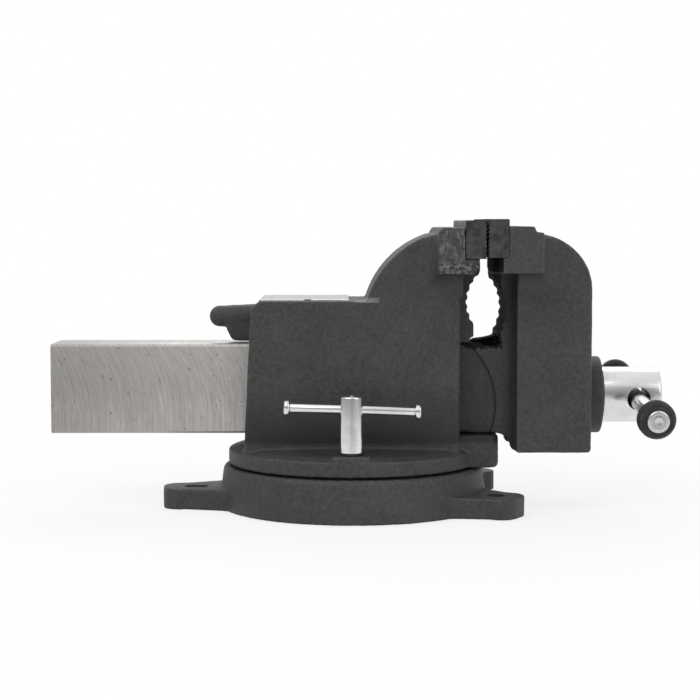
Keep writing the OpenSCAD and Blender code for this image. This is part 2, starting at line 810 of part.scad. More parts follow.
// Places a lock bar drawn along X about the origin, in the lock nut's frame
module lock_bar_frame() {
    translate([0, 0, lock_bar_z - lock_nut_z]) rotate([0, lock_bar_tilt, 0]) children();
}

module lock_bar() {
    half = lock_bar_l / 2 - 1;
    color(plated) translate([-lock_x, -lock_r, lock_nut_z]) lock_bar_frame()
        translate([lock_bar_shift, 0, 0]) rod_x(-half, half, lock_bar_d);
}

module lock_knobs() {
    color(plated) translate([-lock_x, -lock_r, lock_nut_z]) lock_bar_frame()
        translate([lock_bar_shift, 0, 0]) for (s = [-1, 1]) scale([s, 1, 1])
            translate([lock_bar_l / 2 - lock_knob_l, 0, 0]) rotate([0, 90, 0]) difference() {
                lock_knob();
                translate([0, 0, -eps])
                    cylinder(h = lock_knob_l - 1 + eps, d = lock_bar_d + 2 * fit);
            }
}

module lock_knob() {
    r = lock_knob_d / 2;
    bevel = 1.2;
    rotate_extrude() polygon([
        [0, 0], [r - bevel, 0], [r, bevel], [r, lock_knob_l - bevel],
        [r - bevel, lock_knob_l], [0, lock_knob_l]
    ]);
}

module near_lock_nut() lock_nut();
module near_lock_bar() lock_bar();
module near_lock_knobs() lock_knobs();
module far_lock_nut() mirror([0, 1, 0]) lock_nut();
module far_lock_bar() mirror([0, 1, 0]) lock_bar();
module far_lock_knobs() mirror([0, 1, 0]) lock_knobs();

// ---------- front casting with the slide bar ----------

// Side view of the front jaw, with the toothed arc of its pipe jaw
module front_side() {
    foot_r1 = front_x0 - 1 - (parting_x + 11);
    cx = parting_x + front_pipe_depth - front_pipe_r;
    top_x = parting_x + 8.6;
    start = acos((top_x - cx) / front_pipe_r);
    end = -34;
    bottom_x = cx + front_pipe_r * cos(end);
    nose_cx = front_x1 - nose_r;
    top_a = acos((front_insert_x + front_head_t - nose_cx) / nose_r);
    polygon(concat(
        [[front_neck_x, bar_z]],
        arc(parting_x + 11, front_z + 1, min(foot_r1, bar_z - front_z - 1), 90, 0, 6),
        [[front_x0 + 1, front_z], [front_x1 - 2, front_z], [front_x1, front_z + 2]],
        arc(nose_cx, nose_z, nose_r, 0, top_a, 14),
        [[front_insert_x + front_head_t, front_shelf_z - 1],
         [front_insert_x + front_head_t - 1, front_shelf_z], [front_insert_x, front_shelf_z],
         [front_insert_x, front_insert_z], [top_x, front_insert_z]],
        toothed_arc(cx, front_pipe_z, front_pipe_r, pipe_tooth_h, start, end, pipe_teeth),
        [[bottom_x, pipe_bottom_z], [relief_x1, pipe_bottom_z],
         [relief_x1, bar_top_z], [front_neck_x, bar_top_z]]));
}

// Outline from above of the front jaw: coves lead from the slide bar to the flat sides
module front_plan() {
    half = body_w / 2;
    round = 6;
    neck = bar_w / 2 + mill_step;
    one_side = concat(
        [[front_neck_x, neck]],
        arc(front_x0 - cove_r, neck + cove_r, cove_r, 270, 360, 8),
        [[front_x0, half - 1], [front_x0 + 1, half]],
        arc(front_x1 - round, half - round, round, 90, 0, 6));
    n = len(one_side) - 1;
    polygon(concat(one_side, [for (i = [n:-1:0]) [one_side[i][0], -one_side[i][1]]]));
}

module front_block() {
    intersection() {
        side_view(body_w) front_side();
        linear_extrude(crown_z + 1) front_plan();
        cross_section(0, front_x1 + 1) polygon([
            [-body_w / 2, 0], [body_w / 2, 0],
            [body_w / 2 - side_draft, crown_z + 1], [-body_w / 2 + side_draft, crown_z + 1]
        ]);
    }
}

module front_ledge_shelf() {
    translate([front_insert_x - front_ledge, -jaw_w / 2, head_bottom_z + front_lift])
        cube([front_ledge + eps, jaw_w, insert_z - head_bottom_z]);
}

module slide_bar() {
    c = bar_chamfer;
    w = bar_w / 2;
    cross_section(-bar_rear, parting_x) polygon([
        [-w, bar_z + c], [-w + c, bar_z], [w - c, bar_z], [w, bar_z + c],
        [w, bar_top_z - c], [w - c, bar_top_z], [-w + c, bar_top_z], [-w, bar_top_z - c]
    ]);
}

module slide_channel() {
    cross_section(-bar_rear - eps, front_core_x1) polygon(concat(
        [[-channel_w / 2, front_z - eps], [channel_w / 2, front_z - eps]],
        arc(channel_w / 2 - 6, channel_top_z - 6, 6, 0, 90, 5),
        arc(-channel_w / 2 + 6, channel_top_z - 6, 6, 90, 180, 5)));
}

// Hollow of the front jaw, open below
module front_core() {
    w = body_w - 2 * front_wall;
    cross_section(front_x0 + front_wall, front_core_x1)
        soften(8) translate([-w / 2, front_z - 20])
            square([w, front_core_top - front_z + 20]);
}

module hub() {
    edge = 1.6;
    translate([front_x1 - eps, 0, spindle_z]) rotate([0, 90, 0])
        rotate_extrude() polygon(concat(
            [[0, 0], [hub_d / 2, 0]],
            arc(hub_d / 2 - edge, hub_l + eps - edge, edge, 0, 90, 4),
            [[0, hub_l + eps]]));
}

module dynamic_jaw() {
    color(cast_grey) difference() {
        union() {
            front_block();
            slide_bar();
            front_head();
            front_ledge_shelf();
            hub();
        }
        slide_channel();
        front_core();
        both_sides() translate([mill_x, bar_w / 2, (bar_z + bar_top_z) / 2 - 12])
            rotate([-90, 0, 0]) cylinder(h = 2 * mill_step, r = mill_r);
        translate([relief_x0, -body_w / 2, bar_top_z - relief_d])
            cube([relief_x1 - relief_x0, body_w, relief_d + eps]);
        translate([0, 0, spindle_z])
            rod_x(front_core_x1 - eps, hub_x + eps, spindle_d + 2 * fit);
        insert_screw_holes(front_insert_x, 1, front_lift);
    }
}

// ---------- spindle ----------

module spindle() {
    bevel = 2.4;
    r = head_d / 2;
    color(plated) difference() {
        translate([0, 0, spindle_z]) union() {
            translate([head_x, 0, 0]) rotate([0, 90, 0]) rotate_extrude() polygon([
                [0, 0], [r - 1, 0], [r, 1], [r, head_l - bevel],
                [r - bevel, head_l], [0, head_l]
            ]);
            rod_x(-spindle_rear + 3, head_x + 1, spindle_d);
            translate([-spindle_rear, 0, 0]) rotate([0, 90, 0])
                cylinder(h = 3, d1 = spindle_d - 6, d2 = spindle_d);
        }
        hole_frame() translate([0, -head_d, 0]) rotate([-90, 0, 0])
            cylinder(h = 2 * head_d, d = handle_hole_d);
        translate([collar_x + collar_t / 2, 0, 0])
            cylinder(h = spindle_z * 2, d = pin_d + 2 * fit);
    }
}

// Helical sweep along X, with n rings of m points
module coil(r, wire, length, turns) {
    m = 8;
    n = turns * 20;
    rise = length - wire;
    points = [for (i = [0:n]) let (a = 360 * turns * i / n)
        for (j = [0:m - 1]) let (b = 360 * j / m, q = r + wire / 2 * cos(b))
            [wire / 2 + rise * i / n + wire / 2 * sin(b), q * cos(a), q * sin(a)]];
    sides = [for (i = [0:n - 1]) for (j = [0:m - 1])
        [i * m + j, (i + 1) * m + j, (i + 1) * m + (j + 1) % m, i * m + (j + 1) % m]];
    ends = [[for (j = [0:m - 1]) j], [for (j = [m - 1:-1:0]) n * m + j]];
    polyhedron(points, concat(sides, ends));
}

module spindle_spring() {
    color(hardened) translate([spring_x0, 0, spindle_z])
        coil(spindle_d / 2 + spring_wire / 2 + 0.6, spring_wire, spring_l, spring_turns);
}

module retaining_collar() {
    color(hardened) difference() {
        translate([collar_x, 0, spindle_z]) rotate([0, 90, 0])
            ring(collar_d, spindle_d + 2 * fit, collar_t);
        translate([collar_x + collar_t / 2, 0, 0])
            cylinder(h = spindle_z * 2, d = pin_d + 2 * fit);
    }
}

module collar_pin() {
    color(hardened) translate([collar_x + collar_t / 2, 0, spindle_z - collar_d / 2])
        cylinder(h = collar_d, d = pin_d);
}

// ---------- handle ----------

// Frame of the cross hole: Y along the hole
module hole_frame() {
    translate([handle_x, 0, spindle_z]) rotate([handle_tilt, 0, 0]) children();
}

// Frame of the handle: Y along the bar, which lies on the bottom of the cross hole
module handle_frame() {
    hole_frame() translate([0, 0, -handle_drop]) rotate([0, 0, handle_yaw]) children();
}

module handle_bar() {
    bar = handle_l - 4;
    color(plated) handle_frame() translate([0, -bar / 2, 0]) rotate([-90, 0, 0])
        cylinder(h = bar, d = handle_d);
}

module handle_cap() {
    r = cap_d / 2;
    color(plated) rotate([-90, 0, 0]) translate([0, 0, handle_l / 2 - cap_l]) difference() {
        rotate_extrude() polygon([
            [0, 0], [r, 0], [r, cap_l - 1.4], [r - 1.4, cap_l - 0.4], [r - 3.4, cap_l - 0.4],
            [r - 3.8, cap_l], [0, cap_l]
        ]);
        translate([0, 0, -eps]) cylinder(h = cap_l - 2 + eps, d = handle_d + 2 * fit);
    }
}

module handle_ring() {
    r = ring_d / 2;
    soft = 2.5;
    bore = handle_d / 2 + fit;
    color(rubber) rotate([-90, 0, 0]) translate([0, 0, handle_l / 2 - cap_l - ring_w])
        rotate_extrude() polygon(concat(
            [[bore, 0]],
            arc(r - soft, soft, soft, 270, 360, 4),
            arc(r - soft, ring_w - soft, soft, 0, 90, 4),
            [[bore, ring_w]]));
}

module near_handle_cap() handle_frame() mirror([0, 1, 0]) handle_cap();
module far_handle_cap() handle_frame() handle_cap();
module near_handle_ring() handle_frame() mirror([0, 1, 0]) handle_ring();
module far_handle_ring() handle_frame() handle_ring();

// ---------- selection ----------

swivel_base();
stationary_body();
rear_jaw_insert();
rear_insert_screws();
spindle_nut();
nut_bolt();
nut_bolt_washer();
lock_bolts();
near_lock_nut();
near_lock_bar();
near_lock_knobs();
far_lock_nut();
far_lock_bar();
far_lock_knobs();
dynamic_jaw();
front_jaw_insert();
front_insert_screws();
spindle();
spindle_spring();
retaining_collar();
collar_pin();
handle_bar();
near_handle_cap();
far_handle_cap();
near_handle_ring();
far_handle_ring();
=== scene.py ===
"""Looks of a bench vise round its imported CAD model: rough castings under black paint, a milled
slide bar, serrated jaw inserts, plated turned parts and ribbed rubber rings."""
import json
import math

import bmesh
import bpy
import numpy as np
from mathutils import Matrix, Vector, noise

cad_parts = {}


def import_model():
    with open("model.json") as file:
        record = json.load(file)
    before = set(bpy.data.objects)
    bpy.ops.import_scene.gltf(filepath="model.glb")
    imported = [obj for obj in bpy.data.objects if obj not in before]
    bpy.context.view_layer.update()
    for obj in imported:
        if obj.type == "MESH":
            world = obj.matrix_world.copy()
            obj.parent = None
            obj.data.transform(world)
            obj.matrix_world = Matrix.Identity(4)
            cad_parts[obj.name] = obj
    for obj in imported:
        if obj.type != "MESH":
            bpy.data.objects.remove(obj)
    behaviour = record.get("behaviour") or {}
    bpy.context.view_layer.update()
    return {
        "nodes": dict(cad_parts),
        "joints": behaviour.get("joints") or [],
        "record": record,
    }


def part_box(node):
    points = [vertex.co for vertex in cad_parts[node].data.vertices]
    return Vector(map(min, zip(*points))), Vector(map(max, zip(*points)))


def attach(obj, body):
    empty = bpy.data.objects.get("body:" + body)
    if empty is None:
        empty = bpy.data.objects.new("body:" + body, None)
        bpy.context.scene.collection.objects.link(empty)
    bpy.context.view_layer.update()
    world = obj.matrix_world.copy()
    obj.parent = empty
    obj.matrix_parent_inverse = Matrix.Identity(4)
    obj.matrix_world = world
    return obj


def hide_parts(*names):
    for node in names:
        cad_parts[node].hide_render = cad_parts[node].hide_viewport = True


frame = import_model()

MM = 0.001


# ---------- sizes and places, in metres ----------

def mount_at(name):
    return next(m for m in frame["record"]["mounts"] if m["name"] == name)["pos_m"]


def joint_axis(name):
    return Vector(next(j for j in frame["joints"] if j["name"] == name)["axis"])


def middle(node):
    low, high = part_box(node)
    return (low + high) / 2


# Castings: the fineness of their skins, and where the milled slide bar takes over from the neck
VOXEL = 0.9 * MM
SMOOTH_PASSES = 6
SPLIT_X = 0.074
PARTING_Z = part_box("swivel_base")[1].z
T_SLOT_R = (0.068, 0.0975)
T_SLOT_FLOOR_Z = 0.004
T_SLOT_SET_BACK = 0.40 * MM
PIPE_JAW_HALF_Y = 0.0262

# The rear jaw's head: its skin is broken past this X and Z and nearer than this Y, and its
# paint is scraped where it is nearer than HEAD_END_Y
PITTED_X, PITTED_Y, PITTED_Z = 0.060, -0.070, 0.178
HEAD_END_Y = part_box("rear_jaw_insert")[0].y + 1.6 * MM

# Painted details, among them painted shade in the slide gap, the pocket, the throat, the bolt holes
# and round the plate; a pair is a middle and a reach along one axis
ANVIL_Z = mount_at("anvil_face")[2]
PAD_LOW = ANVIL_Z - 0.9 * MM
PAD_X, PAD_Y = (-0.0376, 0.0345), (0.0, 0.0440)
PAD_NOTCH_X, PAD_NOTCH_Y = (-0.0348, 0.0026), (-0.0440, 0.0040)
SCRAPE_X, SCRAPE_Z = (0.0725, 0.0105), (0.1985, 0.0165)
LEDGE_X, LEDGE_Z = (0.0780, 0.0160), (0.1868, 0.0040)
BEHIND_PAD_X, BEHIND_PAD_Z = (0.0100, 0.0085), (ANVIL_Z - 0.0006, 0.0018)
BEHIND_PAD_Y = -0.030
SLIDE_GAP_X, SLIDE_GAP_Z = (0.0995, 0.0137), (0.1298, 0.0054)
POCKET_X, POCKET_Z = (0.1050, 0.0058), (0.1886, 0.0060)
THROAT_X, THROAT_Y, THROAT_Z = (0.1050, 0.0168), (0.0, 0.0285), (0.1585, 0.0230)
HOLE_SHADE_R = 6.8 * MM
RIM_INNER_R = 0.0880
PLATE_TOP_Z = 0.0525

# Where the painted shade on the paint, and the brightening of the bar's metal, begin and end, from
# low to high
BLOCK_FADES_Z = (0.058, 0.098)
PLATE_FADES_Z = (PLATE_TOP_Z, 0.056)
BENCH_FADES_Z = (0.9 * MM, 2.4 * MM)
COVE_DARKENS_X, COVE_LIGHTENS_X, COVE_TOP_Z = (0.1130, 0.1210), (0.1232, 0.1238), 0.1810
BAR_BRIGHTENS_X = (-0.22, -0.10)

# The arc of the milled step on the front jaw's neck: its foremost X, its centre's Z, its radius
NECK_ARC_X, NECK_ARC_Z, NECK_ARC_R = 0.1092, 0.0812, 0.0620
# Limits of the painted shade line along that arc, and where the flat with its cutter marks begins
NECK_SHADE_X, NECK_SHADE_Z = 0.086, (NECK_ARC_Z + 0.004, 0.043)
NECK_FLAT_X = 0.080

# The cutter's arcs on the slide bar: the Z of their centres and their radius
MILL_Z, MILL_R = 0.068, 0.110

# Jaw inserts
INSERT_ROWS, INSERT_COLS = 36, 192
SERRATION_DEPTH = 1.1 * MM
INSERT_CHAMFER = 0.8 * MM
SCREW_Y = 44 * MM
SCREW_HOLE_R = 8.3 * MM
SCREW_HOLE_DEPTH = 3.02 * MM

# Spindle and handle
HEAD_L = 45.4 * MM
HOLE_R = 8.8 * MM
SHANK_X = 128 * MM
THREAD_R = 12 * MM
ROOT_R = 9.6 * MM
LEAD = 6 * MM
HANDLE_R = 6.6 * MM
HANDLE_HALF = 104 * MM
CAP_R = 8.3 * MM
CAP_L = 5 * MM
RING_R = 14.15 * MM
RING_L = 11 * MM

# Swivel locks
LOCK_BAR_R = 3.4 * MM
LOCK_BAR_HALF = 50.65 * MM
LOCK_HOLE_R = 3.8 * MM
LOCK_HOLE_BELOW_TOP = 10 * MM
KNOB_R = 5.9 * MM
KNOB_L = 4.6 * MM


# ---------- meshes ----------

def limit(value, low, high):
    return max(low, min(high, value))


def link(name, mesh):
    ob = bpy.data.objects.new(name, mesh)
    bpy.context.scene.collection.objects.link(ob)
    return ob


def from_data(name, verts, faces):
    mesh = bpy.data.meshes.new(name)
    mesh.from_pydata([tuple(v) for v in verts], [], [tuple(f) for f in faces])
    mesh.update()
    return link(name, mesh)


def apply_modifiers(ob):
    graph = bpy.context.evaluated_depsgraph_get()
    graph.update()
    mesh = bpy.data.meshes.new_from_object(ob.evaluated_get(graph))
    old = ob.data
    ob.modifiers.clear()
    ob.data = mesh
    bpy.data.meshes.remove(old)


def shade(ob, angle):
    """Smooth shading, with edges sharper than the angle left hard."""
    mesh = ob.data
    mesh.polygons.foreach_set("use_smooth", [True] * len(mesh.polygons))
    mesh.set_sharp_from_angle(angle=math.radians(angle))
    mesh.update()
    return ob


def recalc(ob):
    work = bmesh.new()
    work.from_mesh(ob.data)
    bmesh.ops.recalc_face_normals(work, faces=work.faces)
    work.to_mesh(ob.data)
    work.free()
    return ob


def bevel(ob, width, segments=2, angle=40):
    mod = ob.modifiers.new("bevel", "BEVEL")
    mod.width = width
    mod.segments = segments
    mod.limit_method = "ANGLE"
    mod.angle_limit = math.radians(angle)
    mod.use_clamp_overlap = True
    apply_modifiers(ob)


def cut(ob, cutter):
    mod = ob.modifiers.new("cut", "BOOLEAN")
    mod.operation = "DIFFERENCE"
    mod.solver = "EXACT"
    mod.object = cutter
    apply_modifiers(ob)
    bpy.data.objects.remove(cutter)


def lathe(name, profile, segments, place):
    """Revolves (radius, height) pairs, from the lower pole to the upper one, about Z."""
    verts, faces, rings = [], [], []
    for r, z in profile:
        if r == 0:
            rings.append([len(verts)])
            verts.append((0, 0, z))
            continue
        rings.append(range(len(verts), len(verts) + segments))
        for i in range(segments):
            a = 2 * math.pi * i / segments
            verts.append((r * math.cos(a), r * math.sin(a), z))
    for low, high in zip(rings, rings[1:]):
        for i in range(segments):
            k = (i + 1) % segments
            if len(low) == 1:
                faces.append((low[0], high[k], high[i]))
            elif len(high) == 1:
                faces.append((low[i], low[k], high[0]))
            else:
                faces.append((low[i], low[k], high[k], high[i]))
    ob = from_data(name, verts, faces)
    ob.data.transform(place)
    return ob


def cylinder(name, r, low, high, segments, place):
    return lathe(name, [(0, low), (r, low), (r, high), (0, high)], segments, place)


def drill(ob, r, low, high, segments, place):
    """Cuts a round hole between two heights of a placed axis."""
    cut(ob, recalc(cylinder("tool", r, low, high, segments, place)))


def ring_lathe(name, profile, segments, place, warp):
    """Revolves a closed loop of (radius, height) pairs about Z; warp shifts each radius."""
    verts, faces = [], []
    n = len(profile)
    for i in range(segments):
        a = 2 * math.pi * i / segments
        for r, z in profile:
            q = warp(r, i)
            verts.append((q * math.cos(a), q * math.sin(a), z))
    for i in range(segments):
        k = (i + 1) % segments
        for j in range(n):
            m = (j + 1) % n
            faces.append((i * n + j, k * n + j, k * n + m, i * n + m))
    ob = from_data(name, verts, faces)
    ob.data.transform(place)
    return ob


def fillet(r, z, radius, a0, a1, n):
    """Points of an arc about (r, z), with angles in degrees."""
    out = []
    for i in range(n + 1):
        a = math.radians(a0 + (a1 - a0) * i / n)
        out.append((r + radius * math.cos(a), z + radius * math.sin(a)))
    return out


def axis_frame(origin, axis):
    """A matrix that takes Z to the axis and the origin to a point."""
    turn = Vector((0, 0, 1)).rotation_difference(Vector(axis)).to_matrix().to_4x4()
    return Matrix.Translation(origin) @ turn


def join(name, parts):
    """One object from several, which keeps the order of the parts."""
    work = bmesh.new()
    for part in parts:
        work.from_mesh(part.data)
        mesh = part.data
        bpy.data.objects.remove(part)
        bpy.data.meshes.remove(mesh)
    mesh = bpy.data.meshes.new(name)
    work.to_mesh(mesh)
    work.free()
    return link(name, mesh)


def points(ob):
    co = np.empty(len(ob.data.vertices) * 3, np.float32)
    ob.data.vertices.foreach_get("co", co)
    return co.reshape(-1, 3).astype(float)


def normals(ob):
    no = np.empty(len(ob.data.vertices) * 3, np.float32)
    ob.data.vertices.foreach_get("normal", no)
    return no.reshape(-1, 3).astype(float)


def set_points(ob, co):
    ob.data.vertices.foreach_set("co", co.astype(np.float32).ravel())
    ob.data.update()


# ---------- materials ----------

class Graph:
    """A material's node tree, with short calls for the nodes used here."""

    def __init__(self, name):
        self.mat = bpy.data.materials.new(name)
        self.mat.use_nodes = True
        self.tree = self.mat.node_tree
        self.shader = self.tree.nodes["Principled BSDF"]
        self.where = self.tree.nodes.new("ShaderNodeTexCoord").outputs["Object"]

    def node(self, kind, inputs=None, **props):
        n = self.tree.nodes.new(kind)
        for key, value in props.items():
            setattr(n, key, value)
        for key, value in (inputs or {}).items():
            self.put(n.inputs[key], value)
        return n

    def put(self, socket, value):
        if isinstance(value, bpy.types.NodeSocket):
            self.tree.links.new(value, socket)
        else:
            socket.default_value = value

    def math(self, op, a, b=0.0, c=0.0):
        return self.node("ShaderNodeMath", {0: a, 1: b, 2: c}, operation=op).outputs[0]

    def product(self, first, *others):
        for value in others:
            first = self.math("MULTIPLY", first, value)
        return first

    def noise(self, scale, detail=3.0, rough=0.55, vector=None):
        n = self.node("ShaderNodeTexNoise", {
            "Vector": vector or self.where, "Scale": scale, "Detail": detail, "Roughness": rough})
        return n.outputs["Fac"]

    def ramp(self, fac, low, high, a=0.0, b=1.0):
        """From a to b as the factor goes from low to high."""
        n = self.node("ShaderNodeMapRange", {
            "Value": fac, "From Min": low, "From Max": high, "To Min": a, "To Max": b})
        return n.outputs[0]

    def mix(self, fac, a, b):
        n = self.node("ShaderNodeMix", data_type="RGBA")
        self.put(n.inputs["Factor"], fac)
        self.put(n.inputs[6], a)
        self.put(n.inputs[7], b)
        return n.outputs[2]

    def axes(self):
        return list(self.node("ShaderNodeSeparateXYZ", {0: self.where}).outputs)

    def axis(self, i):
        """The X, Y or Z of the shaded point, in metres."""
        return self.axes()[i]

    def stretched(self, x, y, z):
        """The shaded point with a scale of its own along each axis."""
        return self.vector("MULTIPLY", self.where, (x, y, z))[0]

    def within(self, value, low, high):
        """1 where a value is between two limits, and 0 elsewhere."""
        return self.product(self.math("GREATER_THAN", value, low),
                            self.math("LESS_THAN", value, high))

    def near(self, value, middle, reach, wander=None):
        """1 where a value is within reach of the middle; wander makes the border uneven."""
        gap = self.math("ABSOLUTE", self.math("SUBTRACT", value, middle))
        if wander:
            shift = self.product(self.math("SUBTRACT", wander, 0.5), 2 * reach)
            gap = self.math("ADD", gap, shift)
        return self.math("LESS_THAN", gap, reach)

    def blend(self, fac, a, b):
        n = self.node("ShaderNodeMix", {"Factor": fac})
        self.put(n.inputs[2], a)
        self.put(n.inputs[3], b)
        return n.outputs[0]

    def vector(self, op, a, b):
        return self.node("ShaderNodeVectorMath", {0: a, 1: b}, operation=op).outputs

    def length(self, a):
        return self.node("ShaderNodeVectorMath", {0: a}, operation="LENGTH").outputs["Value"]

    def distance_to_line(self, at, axis):
        """Distance of the shaded point from a line through a point, along a unit axis."""
        rest = self.vector("SUBTRACT", self.where, tuple(at))[0]
        return self.length(self.vector("CROSS_PRODUCT", rest, tuple(axis))[0])

    def bump(self, height, strength, distance):
        return self.node("ShaderNodeBump", {
            "Height": height, "Strength": strength, "Distance": distance}).outputs[0]

    def set(self, **values):
        for key, value in values.items():
            self.put(self.shader.inputs[key.replace("_", " ")], value)
        return self.mat


def grey(v, warm=0.0):
    return (v * (1 + warm), v, v * (1 - warm), 1.0)


# Near-black: the colour of painted shade, and of the dark pits on the rear head's ledge
UNLIT = grey(0.006)


def paint(name, *details):
    """Satin black enamel over a rough casting, rubbed a little lighter on its edges.

    Each detail changes the coat's values in turn, and may use the mottle for uneven borders."""
    g = Graph(name)
    broad = g.noise(28.0, 4.0, 0.6)
    mottle = g.noise(380.0, 5.0, 0.68)
    grit = g.noise(1300.0, 3.0, 0.6)
    edge = g.ramp(g.node("ShaderNodeNewGeometry").outputs["Pointiness"], 0.505, 0.56)
    worn = g.product(edge, g.ramp(mottle, 0.42, 0.62, 0.1, 0.75))
    tone = g.math("ADD", g.product(broad, 0.25), g.product(mottle, 0.75))
    colour = g.mix(g.ramp(tone, 0.36, 0.64), grey(0.026), grey(0.059))
    colour = g.mix(worn, colour, grey(0.095))
    # Painted shade: a near-black, uneven band in the gap at the parting line between base and plate
    colour = g.mix(g.near(g.axis(2), PARTING_Z, 0.8 * MM, mottle), colour, grey(0.004))
    coat = {"colour": colour, "rough": g.ramp(mottle, 0.3, 0.7, 0.50, 0.66), "metal": 0.0,
            "height": g.math("ADD", g.product(mottle, 0.7), g.product(grit, 0.3))}
    for detail in details:
        detail(g, coat, mottle)
    normal = g.bump(coat["height"], 0.55, 0.0011)
    return g.set(Base_Color=coat["colour"], Roughness=coat["rough"], Metallic=coat["metal"],
                 Normal=normal, Specular_IOR_Level=0.42)


def shaded_bolt_holes_and_foot(g, coat, mottle):
    """Painted shade on the walls of the bolt holes, and a dark line of painted contact shadow where
    the base meets the bench.
    """
    for mount in frame["record"]["mounts"]:
        if mount["kind"] != "bore":
            continue
        wall = g.math("LESS_THAN", g.distance_to_line(mount["pos_m"], (0, 0, 1)), HOLE_SHADE_R)
        coat["colour"] = g.mix(wall, coat["colour"], UNLIT)
    # Painted contact shadow along the foot of the base
    height = g.math("ADD", g.axis(2), g.product(mottle, MM))
    foot = g.ramp(height, *BENCH_FADES_Z, 0.8, 0.0)
    coat["colour"] = g.mix(foot, coat["colour"], UNLIT)


def painted_foot_shade(g, coat, mottle):
    """Painted shade, darker towards the foot of the block's sides and round the plate's rim."""
    z = g.axis(2)
    block = g.ramp(z, *BLOCK_FADES_Z, 0.26, 1.0)
    plate = g.ramp(z, *PLATE_FADES_Z, 0.80, 0.0)
    outside = g.math("GREATER_THAN", g.distance_to_line((0, 0, 0), (0, 0, 1)), RIM_INNER_R)
    rim = g.product(outside, g.math("LESS_THAN", z, PLATE_TOP_Z))
    kept = g.math("MAXIMUM", g.math("MAXIMUM", block, plate), rim)
    coat["colour"] = g.mix(kept, UNLIT, coat["colour"])


def ground_pad(g, coat, mottle):
    """Bare ground iron on the anvil's pad, with a chipped notch in its near edge."""
    x, y, z = g.axes()
    wobble = g.product(g.math("SUBTRACT", mottle, 0.5), 1.6 * MM)
    top = g.within(g.math("ADD", z, wobble), PAD_LOW, PAD_LOW + 3 * MM)
    notch = g.product(g.near(x, *PAD_NOTCH_X, mottle), g.near(y, *PAD_NOTCH_Y))
    metal = g.product(top, g.near(x, *PAD_X), g.near(y, *PAD_Y), g.math("SUBTRACT", 1.0, notch))
    scratch = g.noise(1.0, 3.0, 0.6, g.stretched(60.0, 2600.0, 60.0))
    iron = g.mix(scratch, grey(0.27, 0.01), grey(0.42, 0.01))
    coat["colour"] = g.mix(metal, coat["colour"], iron)
    coat["rough"] = g.blend(metal, coat["rough"], 0.34)
    coat["height"] = g.product(coat["height"], g.math("SUBTRACT", 1.0, metal))
    coat["metal"] = metal


def scrapes(g, coat, mottle):
    """Paint broken off the near end of the rear jaw's head, its ledge and behind the pad."""
    x, y, z = g.axes()
    near_end = g.math("LESS_THAN", y, HEAD_END_Y)
    streaks = g.ramp(g.noise(1.0, 3.0, 0.65, g.stretched(900.0, 900.0, 170.0)), 0.46, 0.66)
    patches = g.ramp(g.noise(190.0, 3.0, 0.6), 0.40, 0.56)
    head = g.product(near_end, g.near(x, *SCRAPE_X), g.near(z, *SCRAPE_Z))
    bare = g.product(head, streaks, patches, 0.75)
    coat["colour"] = g.mix(bare, coat["colour"], grey(0.19))
    pits = g.ramp(g.noise(430.0, 2.0, 0.6), 0.44, 0.54)
    ledge = g.product(near_end, g.near(x, *LEDGE_X), g.near(z, *LEDGE_Z, mottle), 0.7)
    coat["colour"] = g.mix(ledge, coat["colour"], g.mix(pits, grey(0.14), UNLIT))
    behind = g.product(g.near(x, *BEHIND_PAD_X, mottle), g.near(z, *BEHIND_PAD_Z, mottle),
                       g.math("LESS_THAN", y, BEHIND_PAD_Y), g.ramp(mottle, 0.35, 0.55, 0.3, 1.0))
    coat["colour"] = g.mix(behind, coat["colour"], grey(0.20))


def neck_step_shade_and_marks(g, coat, mottle):
    """A near-black line of painted shade along the edge of the milled flat on the front jaw's neck,
    standing for the step there, and cutter marks on the flat.
    """
    x, z = g.axis(0), g.axis(2)
    centre = (NECK_ARC_X - NECK_ARC_R, 0, NECK_ARC_Z)
    reach = g.distance_to_line(centre, (0, 1, 0))
    # Painted shade along the arc of the milled step
    line = g.product(g.near(reach, NECK_ARC_R, 0.75 * MM), g.math("GREATER_THAN", x, NECK_SHADE_X),
                     g.near(z, *NECK_SHADE_Z), 0.85)
    coat["colour"] = g.mix(line, coat["colour"], grey(0.004))
    flat = g.product(g.math("LESS_THAN", reach, NECK_ARC_R), g.math("GREATER_THAN", x, NECK_FLAT_X))
    marks = g.ramp(g.noise(1.0, 2.0, 0.5, g.stretched(1100.0, 60.0, 60.0)), 0.35, 0.65, 0.0, 0.45)
    coat["colour"] = g.mix(g.product(flat, marks), coat["colour"], grey(0.020))


def unlit_gaps(g, coat, mottle):
    """Painted shade over the slide, between the jaws' ends, in the pipe throat and by the hub."""
    x, y, z = g.axes()
    gap = g.product(g.near(x, *SLIDE_GAP_X, mottle), g.near(z, *SLIDE_GAP_Z, mottle))
    pocket = g.product(g.near(x, *POCKET_X), g.near(z, *POCKET_Z))
    throat = g.product(g.near(x, *THROAT_X), g.near(z, *THROAT_Z), g.near(y, *THROAT_Y), 0.85)
    unlit = g.math("MAXIMUM", g.math("MAXIMUM", gap, pocket), throat)
    coat["colour"] = g.mix(unlit, coat["colour"], grey(0.007))
    coat["rough"] = g.blend(unlit, coat["rough"], 1.0)
    # Painted shade in the cove beside the front jaw's flat side
    cove = g.product(g.ramp(x, *COVE_DARKENS_X), g.ramp(x, *COVE_LIGHTENS_X, 1.0, 0.0),
                     g.math("LESS_THAN", z, COVE_TOP_Z), 0.45)
    coat["colour"] = g.mix(cove, coat["colour"], UNLIT)


